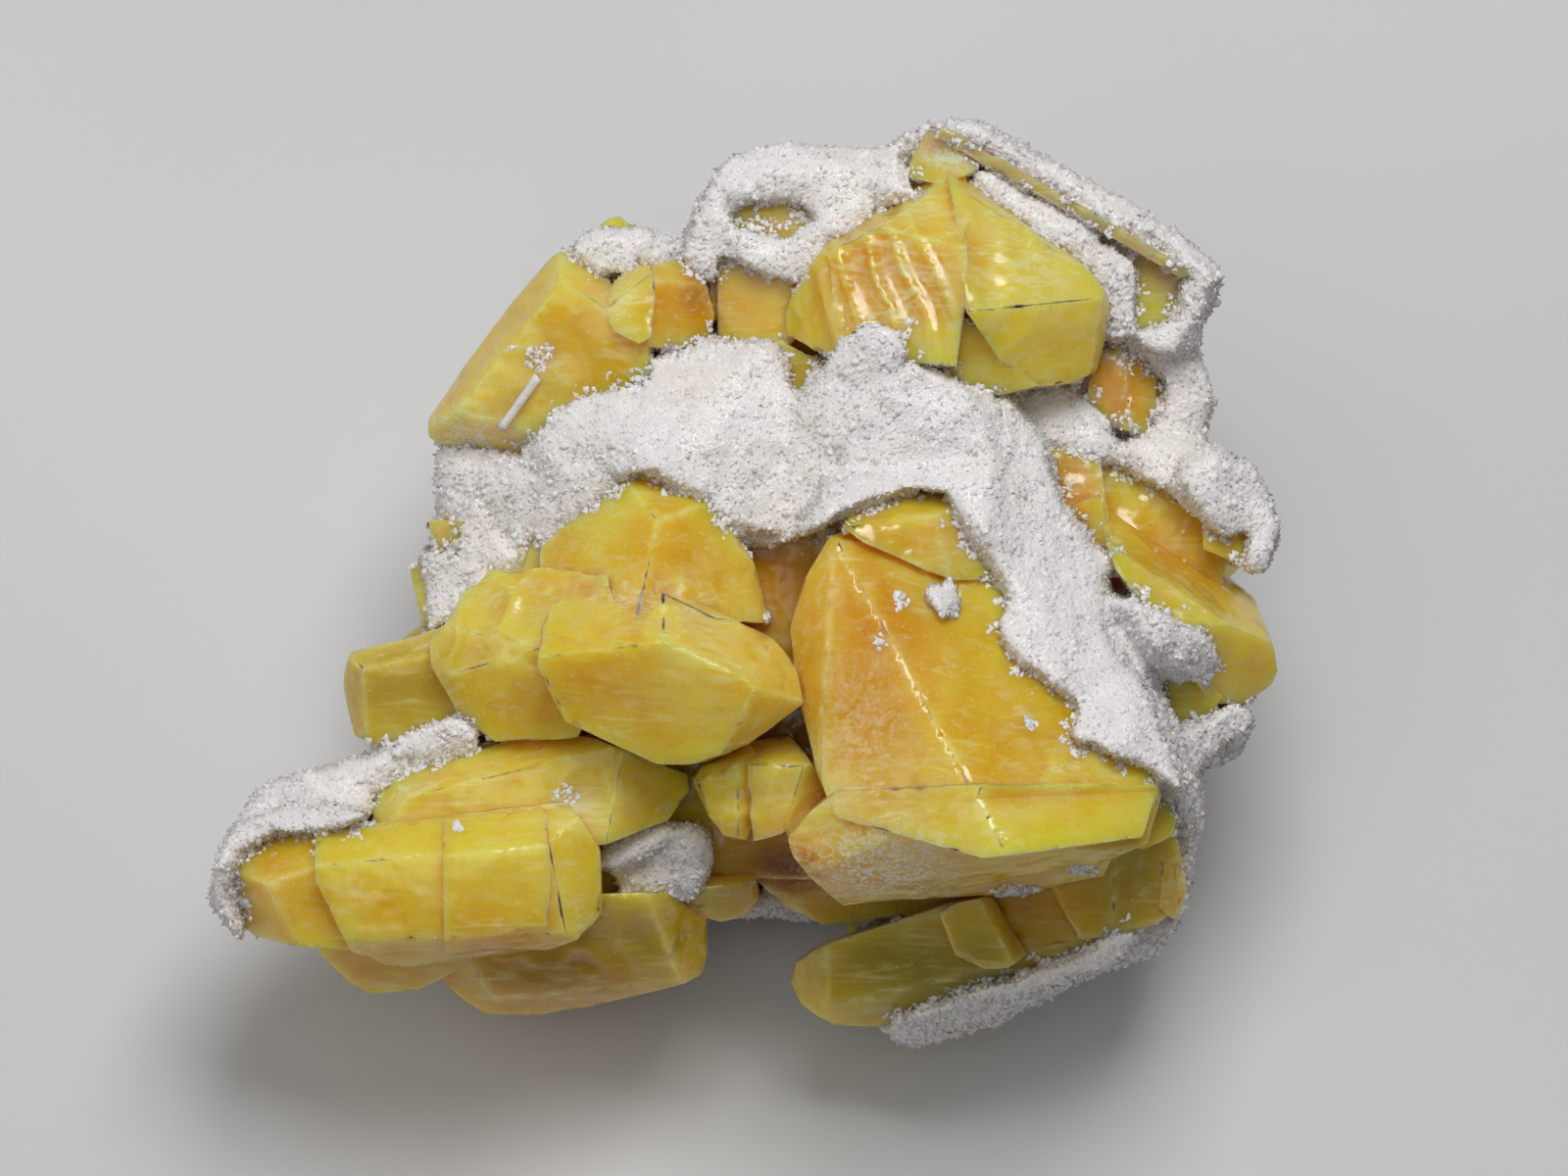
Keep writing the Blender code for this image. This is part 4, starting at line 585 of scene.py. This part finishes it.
class Nodes:
    """Short names for building a material's node tree."""

    def __init__(self, name):
        self.material = bpy.data.materials.new(name)
        self.material.use_nodes = True
        self.tree = self.material.node_tree
        self.shader = self.tree.nodes["Principled BSDF"]
        self.output = self.tree.nodes["Material Output"]
        self.place = self.tree.nodes.new("ShaderNodeTexCoord").outputs["Object"]

    def link(self, source, target):
        self.tree.links.new(source, target)

    def fill(self, socket, value):
        if isinstance(value, bpy.types.NodeSocket):
            self.link(value, socket)
        elif value is not None:
            socket.default_value = value

    def scaled(self, scale, turn):
        node = self.tree.nodes.new("ShaderNodeMapping")
        self.link(self.place, node.inputs["Vector"])
        node.inputs["Rotation"].default_value = [math.radians(angle) for angle in turn]
        node.inputs["Scale"].default_value = scale
        return node.outputs["Vector"]

    def noise(self, scale, detail, rough=0.5, place=None, warp=0.0):
        node = self.tree.nodes.new("ShaderNodeTexNoise")
        self.link(place or self.place, node.inputs["Vector"])
        node.inputs["Scale"].default_value = scale
        node.inputs["Detail"].default_value = detail
        node.inputs["Roughness"].default_value = rough
        node.inputs["Distortion"].default_value = warp
        return node.outputs["Fac"]

    def cells(self, scale, output, place=None):
        node = self.tree.nodes.new("ShaderNodeTexVoronoi")
        self.link(place or self.place, node.inputs["Vector"])
        node.inputs["Scale"].default_value = scale
        return node.outputs[output]

    def ramp(self, value, low, high, start=0.0, end=1.0):
        node = self.tree.nodes.new("ShaderNodeMapRange")
        self.fill(node.inputs["Value"], value)
        node.inputs["From Min"].default_value = low
        node.inputs["From Max"].default_value = high
        node.inputs["To Min"].default_value = start
        node.inputs["To Max"].default_value = end
        return node.outputs["Result"]

    def math(self, operation, a, b=None):
        node = self.tree.nodes.new("ShaderNodeMath")
        node.operation = operation
        self.fill(node.inputs[0], a)
        self.fill(node.inputs[1], b)
        return node.outputs[0]

    def times(self, *factors):
        product = factors[0]
        for factor in factors[1:]:
            product = self.math("MULTIPLY", product, factor)
        return product

    def mix(self, share, a, b):
        node = self.tree.nodes.new("ShaderNodeMix")
        node.data_type = "RGBA"
        node.clamp_factor = True
        self.fill(node.inputs["Factor"], share)
        self.fill(node.inputs[6], a)
        self.fill(node.inputs[7], b)
        return node.outputs[2]

    def layer(self, name):
        node = self.tree.nodes.new("ShaderNodeAttribute")
        node.attribute_name = name
        return node.outputs["Fac"]

    def use_layer_as_place(self, name):
        node = self.tree.nodes.new("ShaderNodeAttribute")
        node.attribute_name = name
        self.place = node.outputs["Vector"]

    def bump(self, height, strength, distance, normal=None):
        node = self.tree.nodes.new("ShaderNodeBump")
        self.link(height, node.inputs["Height"])
        self.fill(node.inputs["Strength"], strength)
        node.inputs["Distance"].default_value = distance
        self.fill(node.inputs["Normal"], normal)
        return node.outputs["Normal"]


def sulfur_material():
    """Amber-yellow crystal, patterned in the display face's millimetres."""
    n = Nodes("sulfur")
    n.use_layer_as_place("face_mm")
    gold = (0.84, 0.50, 0.008, 1.0)
    lemon = (0.92, 0.745, 0.045, 1.0)
    amber_and_painted_shade = (0.78, 0.345, 0.003, 1.0)
    brown_and_painted_shade = (0.26, 0.06, 0.004, 1.0)
    olive_and_painted_shade = (0.38, 0.30, 0.012, 1.0)
    tan = (0.74, 0.44, 0.20, 1.0)
    pale = (0.97, 0.89, 0.47, 1.0)
    painted_glint_colour = (0.95, 0.93, 0.82, 1.0)
    mottle = n.noise(0.16, 1.0, 0.5)
    cloud = n.noise(0.45, 4.0, 0.6, warp=0.5)
    fine = n.noise(3.0, 1.0, 0.65)
    broken = n.scaled((1.0, 0.8, 1.0), (20, 0, 35))
    pane = n.math("FRACT", n.times(n.cells(0.15, "Color", place=broken), 3.0))
    feather = n.noise(1.0, 2.0, 0.6, n.scaled((0.09, 0.85, 0.7), (0, 0, 8)), warp=1.2)
    plume = n.noise(1.0, 3.0, 0.6, n.scaled((0.10, 0.95, 0.8), (0, 0, -62)), warp=1.2)
    streak = n.math("MAXIMUM", n.times(n.ramp(feather, 0.50, 0.72), n.ramp(mottle, 0.46, 0.60)),
                    n.times(n.ramp(plume, 0.50, 0.74), n.ramp(mottle, 0.54, 0.40)))
    # painted sparkle: tiny pale specks that stand for glints inside the crystal
    painted_glint_specks = n.ramp(n.cells(0.8, "Distance"), 0.08, 0.14, 1.0, 0.0)

    colour = n.mix(n.ramp(n.layer("thick"), 0.10, 0.60), lemon, gold)
    # painted glow: paler lemon near the crystals' edges, for light shining through their thin rims
    colour = n.mix(n.times(n.layer("painted_rim_glow"), n.ramp(mottle, 0.35, 0.65, 0.6, 1.0)), colour, lemon)
    colour = n.mix(n.ramp(cloud, 0.45, 0.75, 0.0, 0.45), colour, lemon)
    colour = n.mix(n.ramp(cloud, 0.47, 0.22, 0.0, 0.60), colour, amber_and_painted_shade)
    colour = n.mix(n.times(n.ramp(pane, 0.60, 0.64), 0.28), colour, lemon)
    colour = n.mix(n.times(n.ramp(pane, 0.36, 0.32), 0.22), colour, amber_and_painted_shade)
    colour = n.mix(n.times(n.layer("lemon"), n.ramp(cloud, 0.2, 0.6, 0.6, 1.0)), colour, lemon)
    colour = n.mix(n.times(n.layer("amber_and_painted_shade"), n.ramp(mottle, 0.3, 0.65, 1.0, 0.6)), colour, amber_and_painted_shade)
    # brown past strength 1: the orange-brown facet's own colour, and painted shade at the bottom of the
    # cluster
    colour = n.mix(n.ramp(n.layer("amber_and_painted_shade"), 1.0, 1.6), colour, brown_and_painted_shade)
    # painted shade in part: darker olive on the lower crystals
    colour = n.mix(n.layer("olive_and_painted_shade"), colour, olive_and_painted_shade)
    colour = n.mix(n.layer("tan"), colour, tan)
    # painted shade: deeper amber in the creases between crystals
    colour = n.mix(n.times(n.layer("painted_crevice_shade"), 0.25), colour, amber_and_painted_shade)
    # pale frosted veils, partly painted highlights, and rougher there
    veil = n.math("MAXIMUM", n.ramp(plume, 0.38, 0.64), n.ramp(cloud, 0.40, 0.75, 0.0, 0.7))
    frost_and_painted_highlight = n.times(n.layer("frost_and_painted_highlight"), veil)
    colour = n.mix(n.times(frost_and_painted_highlight, 0.70), colour, pale)
    colour = n.mix(n.ramp(mottle, 0.40, 0.62, 0.0, 0.08), colour, pale)
    # painted glints: pale spots on the glitter patches
    painted_glint_mask = n.times(n.layer("glitter"), n.ramp(n.cells(3.0, "Color"), 0.45, 0.75))
    colour = n.mix(n.times(painted_glint_mask, 0.80), colour, painted_glint_colour)
    colour = n.mix(n.times(streak, 0.45), colour, pale)
    colour = n.mix(n.times(painted_glint_specks, 0.35), colour, pale)
    # paler worn and chipped edges, partly a painted highlight along the crystals' edges
    colour = n.mix(n.times(n.layer("crest"), n.ramp(cloud, 0.35, 0.65, 0.05, 0.45)), colour, pale)
    colour = n.mix(n.times(n.ramp(fine, 0.40, 0.75), 0.06), colour, pale)
    n.link(colour, n.shader.inputs["Base Color"])
    rough = n.math("ADD", n.ramp(cloud, 0.3, 0.7, 0.09, 0.20), n.times(n.layer("crest"), 0.10))
    n.link(n.math("ADD", rough, n.times(frost_and_painted_highlight, 0.25)), n.shader.inputs["Roughness"])
    n.shader.inputs["IOR"].default_value = 1.55
    n.shader.inputs["Transmission Weight"].default_value = 0.12
    n.shader.inputs["Subsurface Weight"].default_value = 1.0
    n.shader.inputs["Subsurface Radius"].default_value = (5.5, 3.9, 0.35)
    n.shader.inputs["Subsurface Scale"].default_value = 1.0 * MM

    glitter = n.cells(3.2, "Color")
    normal = n.bump(n.noise(0.20, 2.0, 0.5), 0.7, 1.2 * MM)
    normal = n.bump(glitter, n.layer("glitter"), 0.16 * MM, normal)
    normal = n.bump(fine, 0.15, 0.06 * MM, normal)
    n.link(normal, n.shader.inputs["Normal"])
    body = n.tree.nodes.new("ShaderNodeVolumeAbsorption")
    body.inputs["Color"].default_value = (0.97, 0.70, 0.06, 1.0)
    body.inputs["Density"].default_value = 90.0
    n.link(body.outputs["Volume"], n.output.inputs["Volume"])
    return n.material


def druse_material(name, grains):
    """White crystal in metres, for the skin, or for the grains with their own tones."""
    n = Nodes(name)
    white = (0.85, 0.825, 0.81, 1.0)
    shade = (0.82, 0.775, 0.765, 1.0)
    stain = (0.84, 0.77, 0.69, 1.0)
    bright = (0.90, 0.885, 0.875, 1.0)
    patchy = n.ramp(n.noise(220.0, 2.0, 0.6), 0.40, 0.68)
    colour = n.mix(patchy, white, shade)
    colour = n.mix(n.times(n.ramp(n.noise(90.0, 1.0), 0.55, 0.75), 0.5), colour, stain)
    if grains:
        colour = n.mix(n.ramp(n.layer("tone"), 0.0, 1.0, 0.1, 1.0), colour, bright)
    n.link(colour, n.shader.inputs["Base Color"])
    n.shader.inputs["IOR"].default_value = 1.5
    n.link(n.ramp(n.noise(3000.0, 0.0), 0.3, 0.7, 0.22, 0.5), n.shader.inputs["Roughness"])
    n.link(n.bump(n.noise(2600.0, 1.0, 0.6), 0.8, 0.15 * MM), n.shader.inputs["Normal"])
    return n.material


def dress(obj, material):
    """Gives a piece its material and its place in the part."""
    obj.data.materials.append(material)
    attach(obj, "root")


def make_stage():
    mesh = bpy.data.meshes.new("floor")
    bm = bmesh.new()
    bmesh.ops.create_grid(bm, x_segments=FLOOR_CELLS, y_segments=FLOOR_CELLS, size=FLOOR_REACH)
    bm.to_mesh(mesh)
    bm.free()
    floor = bpy.data.objects.new("floor", mesh)
    bpy.context.scene.collection.objects.link(floor)
    floor.location.z = -FLOOR_GAP
    n = Nodes("floor")
    tone = n.ramp(n.noise(9.0, 1.0), 0.3, 0.7)
    colour = n.mix(tone, (0.70, 0.70, 0.705, 1.0), (0.74, 0.74, 0.74, 1.0))
    n.link(colour, n.shader.inputs["Base Color"])
    n.shader.inputs["Roughness"].default_value = 0.8
    floor.data.materials.append(n.material)


def aim(obj, place, target):
    obj.location = place
    obj.rotation_mode = "QUATERNION"
    obj.rotation_quaternion = (Vector(target) - Vector(place)).to_track_quat("-Z", "Y")


def add_light(name, place, target, size, power):
    light = bpy.data.lights.new(name, "AREA")
    light.size = size
    light.energy = power
    obj = bpy.data.objects.new(name, light)
    bpy.context.scene.collection.objects.link(obj)
    aim(obj, place, target)


def make_lights(from_face):
    middle = from_face @ Vector((0, 0, 0))
    for name, place, size, power in LIGHTS:
        add_light(name, from_face @ Vector(place), middle, size, power)
    world = bpy.data.worlds.new("studio")
    world.use_nodes = True
    world.node_tree.nodes["Background"].inputs["Color"].default_value = WORLD_COLOUR
    world.node_tree.nodes["Background"].inputs["Strength"].default_value = WORLD_STRENGTH
    bpy.context.scene.world = world
    bpy.context.scene.view_settings.view_transform = "Standard"


def make_camera(from_face):
    data = bpy.data.cameras.new("camera")
    data.lens = CAMERA_LENS
    data.sensor_width = CAMERA_SENSOR
    data.clip_start = 0.05
    data.clip_end = 10.0
    camera = bpy.data.objects.new("camera", data)
    bpy.context.scene.collection.objects.link(camera)
    place = from_face @ Vector((0, 0, CAMERA_DISTANCE))
    camera.matrix_world = Matrix.Translation(place) @ from_face.to_quaternion().to_matrix().to_4x4()
    bpy.context.scene.camera = camera


def main():
    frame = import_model()
    from_face = face_matrix()
    to_face = from_face.inverted()
    make_camera(from_face)
    make_lights(from_face)
    make_stage()

    rng = np.random.default_rng(7)
    coats = [frame["nodes"][name] for name in DRUSE_NODES]
    sulfur, sulfur_co, sulfur_tris = make_sulfur(frame["nodes"][SULFUR_NODE], coats, to_face)
    dress(sulfur, sulfur_material())
    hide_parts(SULFUR_NODE)
    sulfur_tree = tree_of(sulfur_co, sulfur_tris)

    skin_look = druse_material("druse_skin", grains=False)
    grain_look = druse_material("druse_grains", grains=True)
    for coat in coats:
        skin, co, tris, buried = make_druse_skin(coat, sulfur_tree)
        dress(skin, skin_look)
        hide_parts(coat.name)
        bare = tris[~buried[tris].all(1)]
        points, normals = sample_points(co, bare, rng, GRAIN_SPACING)
        if coat is coats[0]:
            strays = stray_points(sulfur_co, sulfur_tris, tree_of(co, tris), rng, to_face)
            points, normals = np.concatenate([points, strays[0]]), np.concatenate([normals, strays[1]])
        order = np.argsort(points[:, 0])
        for part, start in enumerate(range(0, len(points), PIECE_GRAINS)):
            chosen = order[start : start + PIECE_GRAINS]
            grains = make_grains(f"{coat.name}_grains_{part}", points[chosen], normals[chosen], rng)
            dress(grains, grain_look)
    dress(make_needle(sulfur_tree, from_face), skin_look)


main()
